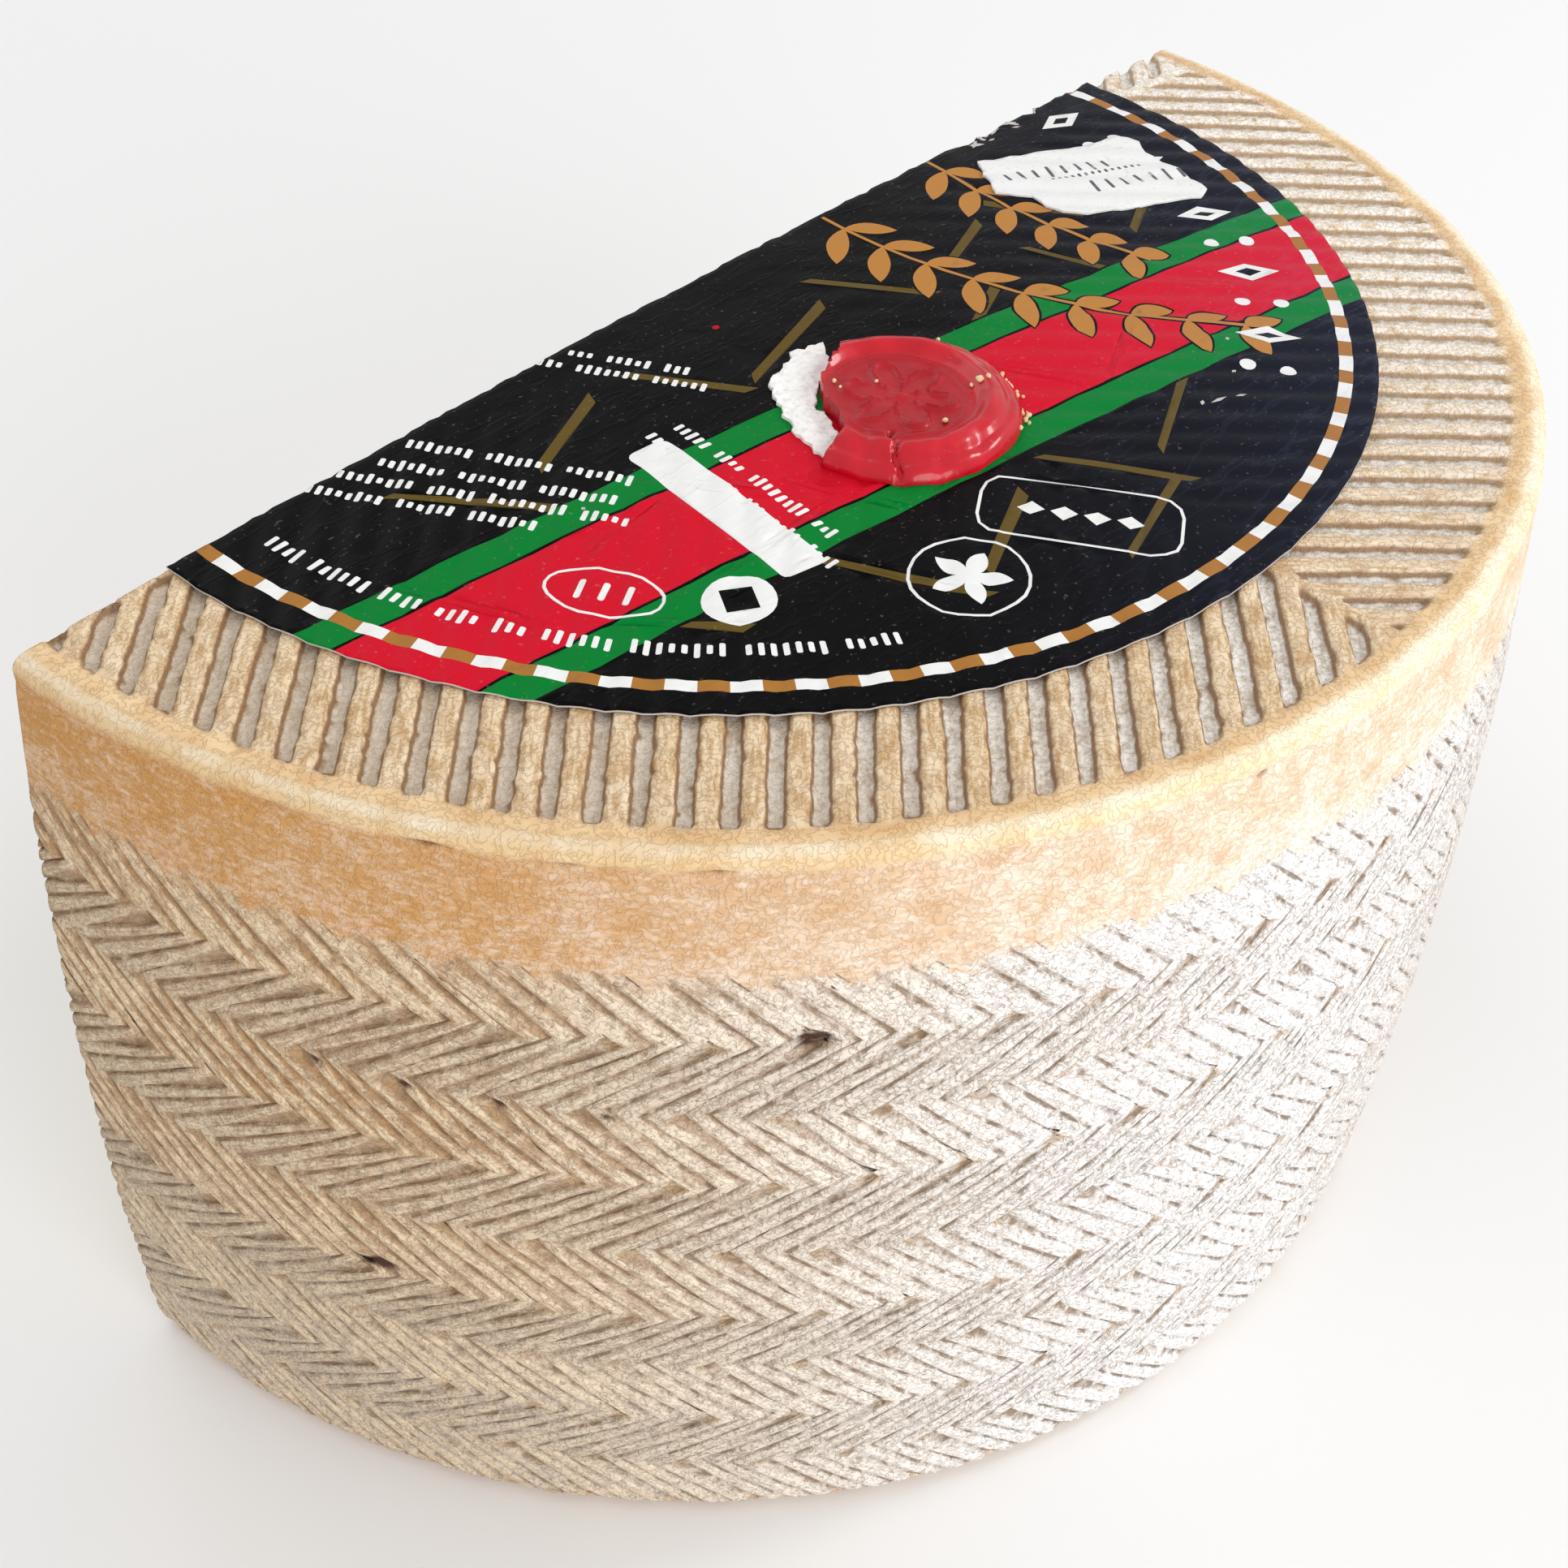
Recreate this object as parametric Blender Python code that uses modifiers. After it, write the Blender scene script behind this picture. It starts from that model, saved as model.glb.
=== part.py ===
# Half of an aged sheep's milk cheese: a drum-shaped wheel cut just past its middle,
# with the paper label, the wax seal, the torn paper under it and the date sticker on top.
#
# Every shape is worked out about the wheel's axis, with +Z up, and the half lies towards -Y.
# One empty then carries the pieces, so that the origin is the bottom centre of the half.

import math

import bmesh
import bpy
from mathutils import Vector

MM = 0.001

# The wheel
TOP_RADIUS = 100.0 * MM
BOTTOM_RADIUS = 100.45 * MM
BARREL_BULGE = 2.55 * MM
HEIGHT = 108.5 * MM
CROWN = 2.0 * MM
CUT_PAST_AXIS = 1.2 * MM

# The edges of the drum
REST_RADIUS = 97.0 * MM
BOTTOM_FILLET = 2.0 * MM
LIP_RADIUS = 100.2 * MM
LIP_DROP = 1.2 * MM
LIP_FOOT = 2.6 * MM
TOP_LAND_RADIUS = 97.5 * MM

# The plaited band pressed into the side, from the bottom up
BAND_EDGES = [edge * MM for edge in (2.0, 12.0, 22.0, 33.0, 42.0, 53.5, 64.5, 75.0, 85.0, 95.0)]
STRANDS = 190
STRAND_RELIEF = 0.7 * MM
LEAN_DOWN_RIGHT = math.radians(45.0)
LEAN_DOWN_LEFT = math.radians(35.0)
SMOOTH_START = 1.5 * MM

# The grooves pressed into both faces, in sectors that meet at mitres
GROOVE_DEPTH = 1.3 * MM
GROOVE_WIDTH = 2.2 * MM
GROOVE_FLOOR = 0.9 * MM
GROOVE_REACH = 96.3 * MM
GROOVE_LIFT = 0.8 * MM
MITRE_GAP = 1.6 * MM
PATTERN_CENTRE = Vector((2.4 * MM, -1.2 * MM))
# Each sector: its first and last bearing, the bearing of its grooves, their pitch and their phase
SECTORS = [
    (178.0, 268.0, 220.5, 4.23 * MM, 2.75 * MM),
    (268.0, 358.0, 315.5, 4.34 * MM, 0.2 * MM),
    (358.0, 448.0, 401.0, 4.30 * MM, 0.9 * MM),
]

# The pieces on top
SKIN_GAP = 0.3 * MM
LABEL_RADIUS = 80.4 * MM
LABEL_CENTRE = Vector((-0.8 * MM, -0.5 * MM))
LABEL_THICKNESS = 0.4 * MM
PAPER_THICKNESS = 0.4 * MM
DOME_RINGS = [ring * MM for ring in (0.0, 24.0, 48.0, 72.0, 96.0)]
DOME_SEGMENTS = 64
DOME_FOOT = 5.0 * MM

SEAL_CENTRE = Vector((-7.1 * MM, -35.0 * MM))
SEAL_RADIUS = 14.4 * MM
SEAL_HEIGHT = 3.1 * MM
SEAL_RIM = 5.6 * MM
SEAL_RECESS = 1.3 * MM
SEAL_SEGMENTS = 72
RIM_STEPS = 8
ROSETTE_PETALS = 6
ROSETTE_REACH = 3.6 * MM
PETAL_RADIUS = 1.7 * MM
PETAL_RISE = 0.6 * MM

# Outlines seen from above, about the wheel's axis, in millimetres
STICKER_OUTLINE = [
    (47.1, -4.1), (42.2, -11.0), (44.6, -15.2), (44.2, -20.2), (46.4, -22.6), (61.4, -30.1),
    (64.0, -29.4), (66.1, -23.7), (66.8, -18.0), (68.6, -15.2), (67.9, -12.0), (63.6, -11.2),
]
TORN_OUTER_EDGE = [
    (-20.4, -36.2), (-19.8, -32.2), (-18.3, -28.7), (-15.9, -24.8), (-13.7, -21.1), (-11.0, -20.5),
    (-6.6, -18.6), (-2.8, -20.1),
]
TORN_INNER_EDGE = [
    (-2.8, -20.1), (-5.9, -24.5), (-7.5, -24.6), (-11.0, -26.0), (-13.6, -28.6), (-14.4, -31.6),
    (-17.4, -35.1), (-20.4, -36.2),
]
# The rim of the seal has broken away along the paper's inner edge
BREAK_SHIFT = (0.4, -0.4)
BREAK_FAR_EDGE = [(-30.0, -36.6), (-30.0, -8.0), (-2.4, -8.0)]

parts = None
cutters = None


def clear_scene():
    for item in list(bpy.data.objects):
        bpy.data.objects.remove(item, do_unlink=True)


def new_collection(name):
    collection = bpy.data.collections.new(name)
    bpy.context.scene.collection.children.link(collection)
    return collection


def plain_material(name, colour, roughness, metallic=0.0):
    material = bpy.data.materials.new(name)
    material.use_nodes = True
    shader = material.node_tree.nodes["Principled BSDF"]
    shader.inputs["Base Color"].default_value = (*colour, 1.0)
    shader.inputs["Roughness"].default_value = roughness
    shader.inputs["Metallic"].default_value = metallic
    return material


def object_from_bmesh(name, shape, collection):
    mesh = bpy.data.meshes.new(name)
    shape.to_mesh(mesh)
    shape.free()
    item = bpy.data.objects.new(name, mesh)
    collection.objects.link(item)
    return item


def make_cutter(item):
    item.hide_render = True
    item.display_type = "WIRE"
    return item


def boolean(item, cutter, operation):
    modifier = item.modifiers.new(operation.lower() + "_" + cutter.name, "BOOLEAN")
    modifier.operation = operation
    modifier.object = cutter
    modifier.solver = "EXACT"


def drum_radius(height):
    share = height / HEIGHT
    straight = BOTTOM_RADIUS + (TOP_RADIUS - BOTTOM_RADIUS) * share
    return straight + BARREL_BULGE * 4.0 * share * (1.0 - share)


def drum_rings():
    """Height, radius, strand relief and turn of each ring of the drum, from the bottom up."""
    rings = [(0.0, REST_RADIUS, 0.0, 0.0)]
    rings.append((BOTTOM_FILLET * 0.35, drum_radius(0.0) - BOTTOM_FILLET * 0.4, 0.0, 0.0))
    turn = 0.0
    for index, edge in enumerate(BAND_EDGES):
        if index:
            leans_right = index % 2 == 1
            lean = LEAN_DOWN_RIGHT if leans_right else -LEAN_DOWN_LEFT
            rise = edge - BAND_EDGES[index - 1]
            turn -= rise / math.tan(lean) / TOP_RADIUS
        rings.append((edge, drum_radius(edge), STRAND_RELIEF * 0.5, turn))
    smooth = BAND_EDGES[-1] + SMOOTH_START
    rings.append((smooth, drum_radius(smooth), 0.0, turn))
    rings.append((HEIGHT - LIP_FOOT, LIP_RADIUS - 0.4 * MM, 0.0, turn))
    rings.append((HEIGHT - LIP_DROP, LIP_RADIUS, 0.0, turn))
    rings.append((HEIGHT, TOP_LAND_RADIUS, 0.0, turn))
    return rings


def make_drum():
    """The whole drum, lofted through rings whose points lie by turns on a strand and between two."""
    shape = bmesh.new()
    columns = STRANDS * 2
    loops = []
    for height, radius, relief, turn in drum_rings():
        loop = []
        for column in range(columns):
            angle = 2.0 * math.pi * column / columns + turn
            reach = radius + (relief if column % 2 else -relief)
            loop.append(shape.verts.new((reach * math.cos(angle), reach * math.sin(angle), height)))
        loops.append(loop)
    for lower, upper in zip(loops, loops[1:]):
        for column in range(columns):
            after = (column + 1) % columns
            shape.faces.new((lower[column], lower[after], upper[after], upper[column]))
    shape.faces.new(reversed(loops[0]))
    shape.faces.new(loops[-1])
    return object_from_bmesh("cheese", shape, parts)


def dome_height(radius):
    return HEIGHT + CROWN * (1.0 - (radius / DOME_RINGS[-1]) ** 2)


def turned(name, profile, segments, collection):
    """A closed turned body. Its profile runs in the XZ plane, down the outer side."""
    shape = bmesh.new()
    points = [shape.verts.new((radius, 0.0, height)) for radius, height in profile]
    for first, second in zip(points, points[1:]):
        shape.edges.new((first, second))
    item = object_from_bmesh(name, shape, collection)
    screw = item.modifiers.new("turn", "SCREW")
    screw.steps = segments
    screw.render_steps = segments
    screw.use_merge_vertices = True
    screw.merge_threshold = 0.00001
    return item


def dome_shell(name, lift, thickness, collection):
    """A sheet of even thickness that follows the crowned top, raised off it."""
    upper = [(ring, dome_height(ring) + lift + thickness) for ring in DOME_RINGS]
    lower = [(ring, dome_height(ring) + lift) for ring in reversed(DOME_RINGS)]
    return turned(name, upper + lower, DOME_SEGMENTS, collection)


def prism(name, outline, low, high):
    """An upright prism on an outline that is given anticlockwise or clockwise."""
    shape = bmesh.new()
    face = shape.faces.new([shape.verts.new((x, y, low)) for x, y in outline])
    face.normal_update()
    if face.normal.z > 0.0:
        face.normal_flip()
    side = bmesh.ops.extrude_face_region(shape, geom=[face])
    raised = [element for element in side["geom"] if isinstance(element, bmesh.types.BMVert)]
    bmesh.ops.translate(shape, verts=raised, vec=(0.0, 0.0, high - low))
    bmesh.ops.recalc_face_normals(shape, faces=shape.faces)
    return make_cutter(object_from_bmesh(name, shape, cutters))


def in_metres(outline):
    return [(x * MM, y * MM) for x, y in outline]


def circle(centre, radius, count):
    turns = [2.0 * math.pi * index / count for index in range(count)]
    return [(centre.x + radius * math.cos(a), centre.y + radius * math.sin(a)) for a in turns]


def groove_span(start_bearing, end_bearing, direction, offset):
    """The two ends of one groove, from its mitre out to the rim, or None."""
    side = Vector((-direction.y, direction.x))
    bearing = math.atan2(direction.y, direction.x)
    edge = end_bearing if offset > 0.0 else start_bearing
    spread = (edge - bearing + math.pi) % (2.0 * math.pi) - math.pi
    inner = offset / math.tan(spread) + MITRE_GAP / abs(math.sin(spread))
    base = PATTERN_CENTRE + side * offset
    along = base.dot(direction)
    inside = GROOVE_REACH ** 2 - (base.length_squared - along ** 2)
    if inside <= 0.0:
        return None
    outer = math.sqrt(inside) - along
    if outer - inner < GROOVE_WIDTH:
        return None
    return base + direction * inner, base + direction * outer


def add_groove(shape, first, last, under):
    """One tapered bar that cuts a groove with sloping sides and ends."""
    direction = (last - first).normalized()
    side = Vector((-direction.y, direction.x))
    slope = (GROOVE_WIDTH - GROOVE_FLOOR) * 0.5 / GROOVE_DEPTH
    loops = []
    for rise, half in ((-GROOVE_DEPTH, GROOVE_FLOOR * 0.5),
                       (GROOVE_LIFT, GROOVE_WIDTH * 0.5 + slope * GROOVE_LIFT)):
        retreat = slope * (rise + GROOVE_DEPTH)
        loop = []
        for end, along, across in ((first, 1, -1), (last, -1, -1), (last, -1, 1), (first, 1, 1)):
            inset = direction * along * (GROOVE_WIDTH * 0.3 - retreat)
            point = end + inset + side * across * half
            height = -rise if under else dome_height(end.length) + rise
            loop.append(shape.verts.new((point.x, point.y, height)))
        loops.append(loop)
    low, high = loops
    if under:
        low, high = high, low
    shape.faces.new(reversed(low))
    shape.faces.new(high)
    for corner in range(4):
        after = (corner + 1) % 4
        shape.faces.new((low[corner], low[after], high[after], high[corner]))


def make_grooves(name, under):
    shape = bmesh.new()
    for start, end, bearing, pitch, phase in SECTORS:
        angle = math.radians(bearing)
        direction = Vector((math.cos(angle), math.sin(angle)))
        count = int(GROOVE_REACH / pitch) + 1
        for index in range(-count, count + 1):
            offset = index * pitch + phase
            span = groove_span(math.radians(start), math.radians(end), direction, offset)
            if span and min(span[0].y, span[1].y) < CUT_PAST_AXIS:
                add_groove(shape, span[0], span[1], under)
    bmesh.ops.recalc_face_normals(shape, faces=shape.faces)
    return make_cutter(object_from_bmesh(name, shape, cutters))


def make_far_half():
    """The block that takes away the half of the wheel that isn't there."""
    reach = TOP_RADIUS * 2.0
    outline = [(-reach, CUT_PAST_AXIS), (reach, CUT_PAST_AXIS), (reach, reach), (-reach, reach)]
    return prism("far_half", outline, -HEIGHT, HEIGHT * 2.0)


def make_cheese(far_half):
    cheese = make_drum()
    foot = HEIGHT - DOME_FOOT
    rim = DOME_RINGS[-1]
    profile = [(ring, dome_height(ring)) for ring in DOME_RINGS] + [(rim, foot), (0.0, foot)]
    crown = make_cutter(turned("crown", profile, DOME_SEGMENTS, cutters))
    boolean(cheese, crown, "UNION")
    boolean(cheese, far_half, "DIFFERENCE")
    boolean(cheese, make_grooves("top_grooves", False), "DIFFERENCE")
    boolean(cheese, make_grooves("bottom_grooves", True), "DIFFERENCE")
    cheese.data.materials.append(plain_material("rind", (0.62, 0.43, 0.22), 0.75))
    return cheese


def make_label(far_half):
    label = dome_shell("label", SKIN_GAP, LABEL_THICKNESS, parts)
    outline = circle(LABEL_CENTRE, LABEL_RADIUS, DOME_SEGMENTS * 2)
    boolean(label, prism("label_outline", outline, HEIGHT * 0.5, HEIGHT * 1.5), "INTERSECT")
    boolean(label, far_half, "DIFFERENCE")
    label.data.materials.append(plain_material("label_print", (0.012, 0.011, 0.016), 0.38))
    return label


def make_sheet_on_label(name, outline, colour):
    lift = SKIN_GAP * 2.0 + LABEL_THICKNESS
    sheet = dome_shell(name, lift, PAPER_THICKNESS, parts)
    boolean(sheet, prism(name + "_outline", in_metres(outline), HEIGHT * 0.5, HEIGHT * 1.5), "INTERSECT")
    sheet.data.materials.append(plain_material(name + "_paper", colour, 0.7))
    return sheet


def seal_profile(base, face):
    """From the middle of the sunk face, over the round rim, and back under to the axis."""
    inner = SEAL_RADIUS - SEAL_RIM
    profile = [(0.0, face)]
    for step in range(RIM_STEPS + 1):
        angle = math.pi * (1.0 - step / RIM_STEPS)
        reach = inner + SEAL_RIM * 0.5 * (1.0 + math.cos(angle))
        profile.append((reach, face + SEAL_RECESS * abs(math.sin(angle))))
    return profile + [(SEAL_RADIUS, base), (0.0, base)]


def make_rosette(face):
    shape = bmesh.new()
    bearings = [2.0 * math.pi * petal / ROSETTE_PETALS for petal in range(ROSETTE_PETALS)]
    middles = [Vector((math.cos(turn), math.sin(turn))) * ROSETTE_REACH for turn in bearings]
    for middle in middles + [Vector((0.0, 0.0))]:
        made = bmesh.ops.create_uvsphere(shape, u_segments=12, v_segments=6, radius=1.0)
        bmesh.ops.scale(shape, verts=made["verts"], vec=(PETAL_RADIUS, PETAL_RADIUS, PETAL_RISE))
        place = SEAL_CENTRE + middle
        bmesh.ops.translate(shape, verts=made["verts"], vec=(place.x, place.y, face))
    return make_cutter(object_from_bmesh("rosette", shape, cutters))


def make_seal():
    """The pressed wax disc: a raised round rim, a sunk face with a rosette, and one broken side."""
    base = dome_height(SEAL_CENTRE.length - SEAL_RADIUS) + SKIN_GAP * 2.0 + LABEL_THICKNESS
    face = base + SEAL_HEIGHT - SEAL_RECESS
    seal = turned("wax_seal", seal_profile(base, face), SEAL_SEGMENTS, parts)
    seal.location = (SEAL_CENTRE.x, SEAL_CENTRE.y, 0.0)
    boolean(seal, make_rosette(face), "UNION")
    broken_edge = [(x + BREAK_SHIFT[0], y + BREAK_SHIFT[1]) for x, y in TORN_INNER_EDGE]
    outline = in_metres(broken_edge + BREAK_FAR_EDGE)
    boolean(seal, prism("seal_break", outline, HEIGHT * 0.5, HEIGHT * 1.5), "DIFFERENCE")
    seal.data.materials.append(plain_material("red_wax", (0.62, 0.012, 0.03), 0.28))
    return seal


def centre_on_base(pieces, cheese):
    """An empty carries the pieces, so that the half's box has its bottom centre at the origin."""
    graph = bpy.context.evaluated_depsgraph_get()
    mesh = cheese.evaluated_get(graph).to_mesh()
    xs = [vertex.co.x for vertex in mesh.vertices]
    ys = [vertex.co.y for vertex in mesh.vertices]
    carrier = bpy.data.objects.new("cheese_base", None)
    parts.objects.link(carrier)
    carrier.location = (-(min(xs) + max(xs)) * 0.5, -(min(ys) + max(ys)) * 0.5, 0.0)
    for piece in pieces:
        piece.parent = carrier
    for cutter in cutters.objects:
        cutter.parent = carrier


def build():
    global parts, cutters
    clear_scene()
    parts = new_collection("aged_sheep_cheese")
    cutters = new_collection("cutters")
    far_half = make_far_half()
    cheese = make_cheese(far_half)
    label = make_label(far_half)
    sticker = make_sheet_on_label("date_sticker", STICKER_OUTLINE, (0.86, 0.86, 0.86))
    torn_outline = TORN_OUTER_EDGE + TORN_INNER_EDGE[1:-1]
    torn = make_sheet_on_label("torn_paper", torn_outline, (0.88, 0.87, 0.85))
    seal = make_seal()
    centre_on_base([cheese, label, sticker, torn, seal], cheese)


build()
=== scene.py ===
import math
import random

import bmesh
import bpy
import numpy as np
from mathutils import Matrix, Vector, noise
from mathutils.geometry import delaunay_2d_cdt


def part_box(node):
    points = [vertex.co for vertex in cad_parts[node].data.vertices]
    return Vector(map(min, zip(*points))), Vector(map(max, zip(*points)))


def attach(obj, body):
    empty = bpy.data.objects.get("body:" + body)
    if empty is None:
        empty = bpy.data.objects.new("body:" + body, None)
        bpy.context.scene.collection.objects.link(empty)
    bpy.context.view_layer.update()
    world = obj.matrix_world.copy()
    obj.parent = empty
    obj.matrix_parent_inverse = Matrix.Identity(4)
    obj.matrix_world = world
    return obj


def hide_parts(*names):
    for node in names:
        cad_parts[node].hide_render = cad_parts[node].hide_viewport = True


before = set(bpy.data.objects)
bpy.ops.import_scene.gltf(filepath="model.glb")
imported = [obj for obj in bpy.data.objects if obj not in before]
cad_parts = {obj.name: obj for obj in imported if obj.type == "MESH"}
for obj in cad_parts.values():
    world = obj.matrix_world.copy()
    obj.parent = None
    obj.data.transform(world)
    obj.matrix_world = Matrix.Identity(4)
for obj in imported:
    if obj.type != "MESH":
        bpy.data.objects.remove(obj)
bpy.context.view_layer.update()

MM = 0.001
WHEEL_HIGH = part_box("cheese")[1]

# The wheel, as its solid has it
TOP_RADIUS = 100.0 * MM
BOTTOM_RADIUS = 100.45 * MM
BARREL_BULGE = 2.55 * MM
CROWN = 2.0 * MM
CROWN_RADIUS = 96.0 * MM
HEIGHT = WHEEL_HIGH.z - CROWN
CUT_PAST_AXIS = 1.2 * MM
AXIS_Y = WHEEL_HIGH.y - CUT_PAST_AXIS

# The plaited side
BAND_EDGES = np.array((2.0, 12.0, 22.0, 33.0, 42.0, 53.5, 64.5, 75.0, 85.0, 94.6)) * MM
STRANDS = 190
STRANDS_PAST_CUT = 6
STRANDS_IN_STRIP = 3
STRAND_SHARES = (0.0, 0.12, 0.31, 0.5, 0.69, 0.88)
ROWS_IN_BAND = 8
LEAN_DOWN_RIGHT = math.radians(45.0)
LEAN_DOWN_LEFT = math.radians(35.0)
BAND_STEP = 1.2 * MM
TOP_BAND_STEP = 2.6 * MM
TOP_STRANDS_FADE = 0.55
STRAND_RELIEF = 0.4 * MM
STRIP_RELIEF = 0.32 * MM
CRUST = 0.2 * MM

# Height and radius of the rows under and over the plait, in millimetres
BASE_PROFILE = ((0.1, 97.0), (0.22, 98.3), (0.55, 99.4), (1.2, 100.1))
RIM_PROFILE = (
    (105.6, 100.15), (106.4, 100.2), (107.1, 100.22), (107.6, 100.1), (107.95, 99.8),
    (108.2, 99.4), (108.38, 98.9), (108.47, 98.2), (108.5, 97.4),
)
FOOT_HEIGHT = BASE_PROFILE[0][0] * MM
LIP_START = RIM_PROFILE[0][0] * MM
SMOOTH_ROWS = 11

# The pressed faces
PATTERN_CENTRE = np.array((2.4, -1.2)) * MM
SECTORS = [
    (178.0, 268.0, 220.5, 4.23 * MM, 2.75 * MM),
    (268.0, 358.0, 315.5, 4.34 * MM, 0.2 * MM),
    (358.0, 448.0, 401.0, 4.30 * MM, 0.9 * MM),
    (88.0, 178.0, 131.0, 4.30 * MM, 0.9 * MM),
]
GROOVE_WIDTH = 2.3 * MM
GROOVE_FLOOR = 1.3 * MM
GROOVE_DEPTH = 0.95 * MM
GROOVE_REACH = 96.4 * MM
MITRE_GAP = 1.5 * MM
FACE_RING = 97.4 * MM
BASE_REACH = 96.7 * MM
UNDER_LABEL = 78.6 * MM
PAST_CUT = 4.0 * MM

# Dents and stains of the side: bearing, height, length, height of the spot (mm) and strength
BLEMISHES = [
    (-131.5, 85.0, 4.2, 2.4, 1.0),
    (-141.5, 47.0, 2.4, 1.2, 0.7),
    (-112.0, 53.0, 2.6, 1.6, 0.7),
    (-119.5, 47.0, 2.0, 1.2, 0.6),
    (-114.0, 22.0, 2.2, 1.4, 0.6),
    (-95.0, 75.0, 2.2, 1.2, 0.6),
    (-157.5, 43.0, 5.5, 1.4, 0.9),
    (-105.0, 105.5, 1.8, 1.0, 0.6),
    (-146.0, 101.0, 2.0, 1.0, 0.55),
    (-161.5, 106.0, 9.0, 0.9, 0.6),
    (-152.5, 106.3, 5.6, 0.7, 0.65),
    (-145.0, 106.2, 8.5, 0.6, 0.6),
    (-137.0, 106.4, 5.0, 0.6, 0.5),
    (-160.3, 74.0, 3.0, 2.0, 0.6),
    (-154.6, 74.0, 2.6, 1.8, 0.6),
    (-149.1, 74.0, 2.4, 1.8, 0.6),
    (-143.0, 74.0, 2.4, 1.8, 0.5),
]

# The pieces on top, in millimetres about the wheel's axis
LABEL_CENTRE = (-0.8, -0.5)
LABEL_RADIUS = 80.4
LABEL_LIFT = 0.5
LABEL_THICKNESS = 0.2
SHEET_GAP = 0.05
SEAL_CENTRE = (-7.1, -35.0)
SEAL_RADIUS = 14.4
SEAL_FOOT = 0.25
CRACK_MIDDLE = (-8.7, -6.6)
STICKER_OUTLINE = [
    (47.1, -4.1), (42.2, -11.0), (44.6, -15.2), (44.2, -20.2), (46.4, -22.6), (61.4, -30.1),
    (64.0, -29.4), (66.1, -23.7), (66.8, -18.0), (68.6, -15.2), (67.9, -12.0), (63.6, -11.2),
]
TORN_OUTER_EDGE = [
    (-20.4, -36.2), (-19.8, -32.2), (-18.3, -28.7), (-15.9, -24.8), (-13.7, -21.1), (-11.0, -20.5),
    (-6.6, -18.6), (-2.8, -20.1),
]
TORN_INNER_EDGE = [
    (-2.8, -20.1), (-5.9, -24.5), (-7.5, -24.6), (-11.0, -26.0), (-13.6, -28.6), (-14.4, -31.6),
    (-17.4, -35.1), (-20.4, -36.2),
]

# The label's print, in millimetres about the wheel's axis and degrees
PRINT_CENTRE = (-0.6, -0.9)
STRAW_REACH = 72.0
STROKE_RING = 70.6
LOZENGE_RING = 67.0
DASH_RING = (75.3, 76.95)
DASH_STEP = 2.41
DASHES = 80
SPECKS = 26
# Ink, and where it starts and ends below the stripe's upper edge
STRIPES = [
    ("black", 0.35, -23.8), ("green", 0.0, -4.35), ("black", -4.35, -4.75),
    ("red", -4.75, -18.6), ("black", -18.6, -19.0), ("green", -19.0, -23.4),
]
# Start, bearing and length of each row of strokes
STROKE_ROWS = [
    ((-62.5, 1.0), -62.0, 24.0), ((-58.5, 0.6), -62.0, 28.0), ((-54.0, -1.0), -62.0, 22.0),
    ((-49.6, -0.6), -62.0, 26.0), ((-28.2, 1.0), -62.0, 15.0), ((-24.4, -0.2), -62.0, 12.0),
    ((-30.2, -18.6), -97.0, 31.0), ((-26.8, -19.6), -97.0, 26.0),
]
# Start, bearing, curve and length of each spray, then size and number of its leaves
SPRAYS = [
    ((43.0, 1.0), -104.0, 14.0, 36.0, 8.6, 6),
    ((21.0, 0.5), -97.0, 26.0, 58.0, 9.4, 9),
]
SPRAY_STEPS = 12
BLANK_FIELD = (-34.2, -33.2)
LONG_FRAME = ((-8.4, -61.5), -58.5)
ROUND_FRAME = (-25.4, -59.6)
SMALL_FRAME = ((-53.6, -34.4), -62.0)
DISC = (-45.0, -45.2)
# Place, length and bearing of each scuff
SCUFFS = [
    (21.5, -59.4, 2.6, -12.0), (24.4, -60.6, 1.7, -20.0), (19.6, -58.4, 1.0, 30.0),
    (28.4, -57.0, 0.8, 0.0), (33.6, -52.6, 0.7, 40.0), (-44.8, -22.6, 0.6, 10.0),
]
STICKER_BEARING = -25.0
# Start, number, pitch, height and width of each row of strokes on the sticker
STICKER_ROWS = [
    ((46.6, -9.6), 8, 2.1, 2.7, 0.5),
    ((53.5, -18.8), 7, 2.2, 3.0, 0.5),
    ((51.0, -13.8), 14, 1.0, 0.8, 0.45),
]
SMALL_CRUMBS = 26
# Place and size of the larger crumbs
CRUMBS = [
    (0.9, -40.1, 0.9), (-7.4, -41.8, 0.7), (-6.9, -31.5, 0.5), (-10.4, -28.1, 0.5),
    (-10.9, -29.5, 0.4), (5.4, -30.6, 0.5), (1.6, -40.8, 0.6), (0.2, -39.6, 0.5),
]

# The camera and the light, in degrees and metres
LENS = 53.695
AZIMUTH = -50.353
ELEVATION = 41.574
ROLL = 2.659
CAMERA_PLACE = Vector((-188.0 * MM, -171.91 * MM + WHEEL_HIGH.y, 254.03 * MM))
# Name, place, size and power of each lamp
LAMPS = [
    ("key", (0.85, -0.5, 0.8), 0.3, 3.2),
    ("front", (-0.4, -1.1, 0.45), 0.9, 8.0),
    ("back", (0.1, 0.9, 0.9), 0.8, 1.5),
]
LAMP_TARGET = (0.0, 0.0, 0.06)
WORLD_STRENGTH = 0.74
FLOOR_HEIGHT = -0.4 * MM
FLOOR_REACH = 6.0


def srgb(red, green, blue):
    """A colour as a screen shows it, from 0 to 255, in linear light."""
    shares = [value / 255.0 for value in (red, green, blue)]
    return tuple(v / 12.92 if v <= 0.04045 else ((v + 0.055) / 1.055) ** 2.4 for v in shares) + (1.0,)


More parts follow.
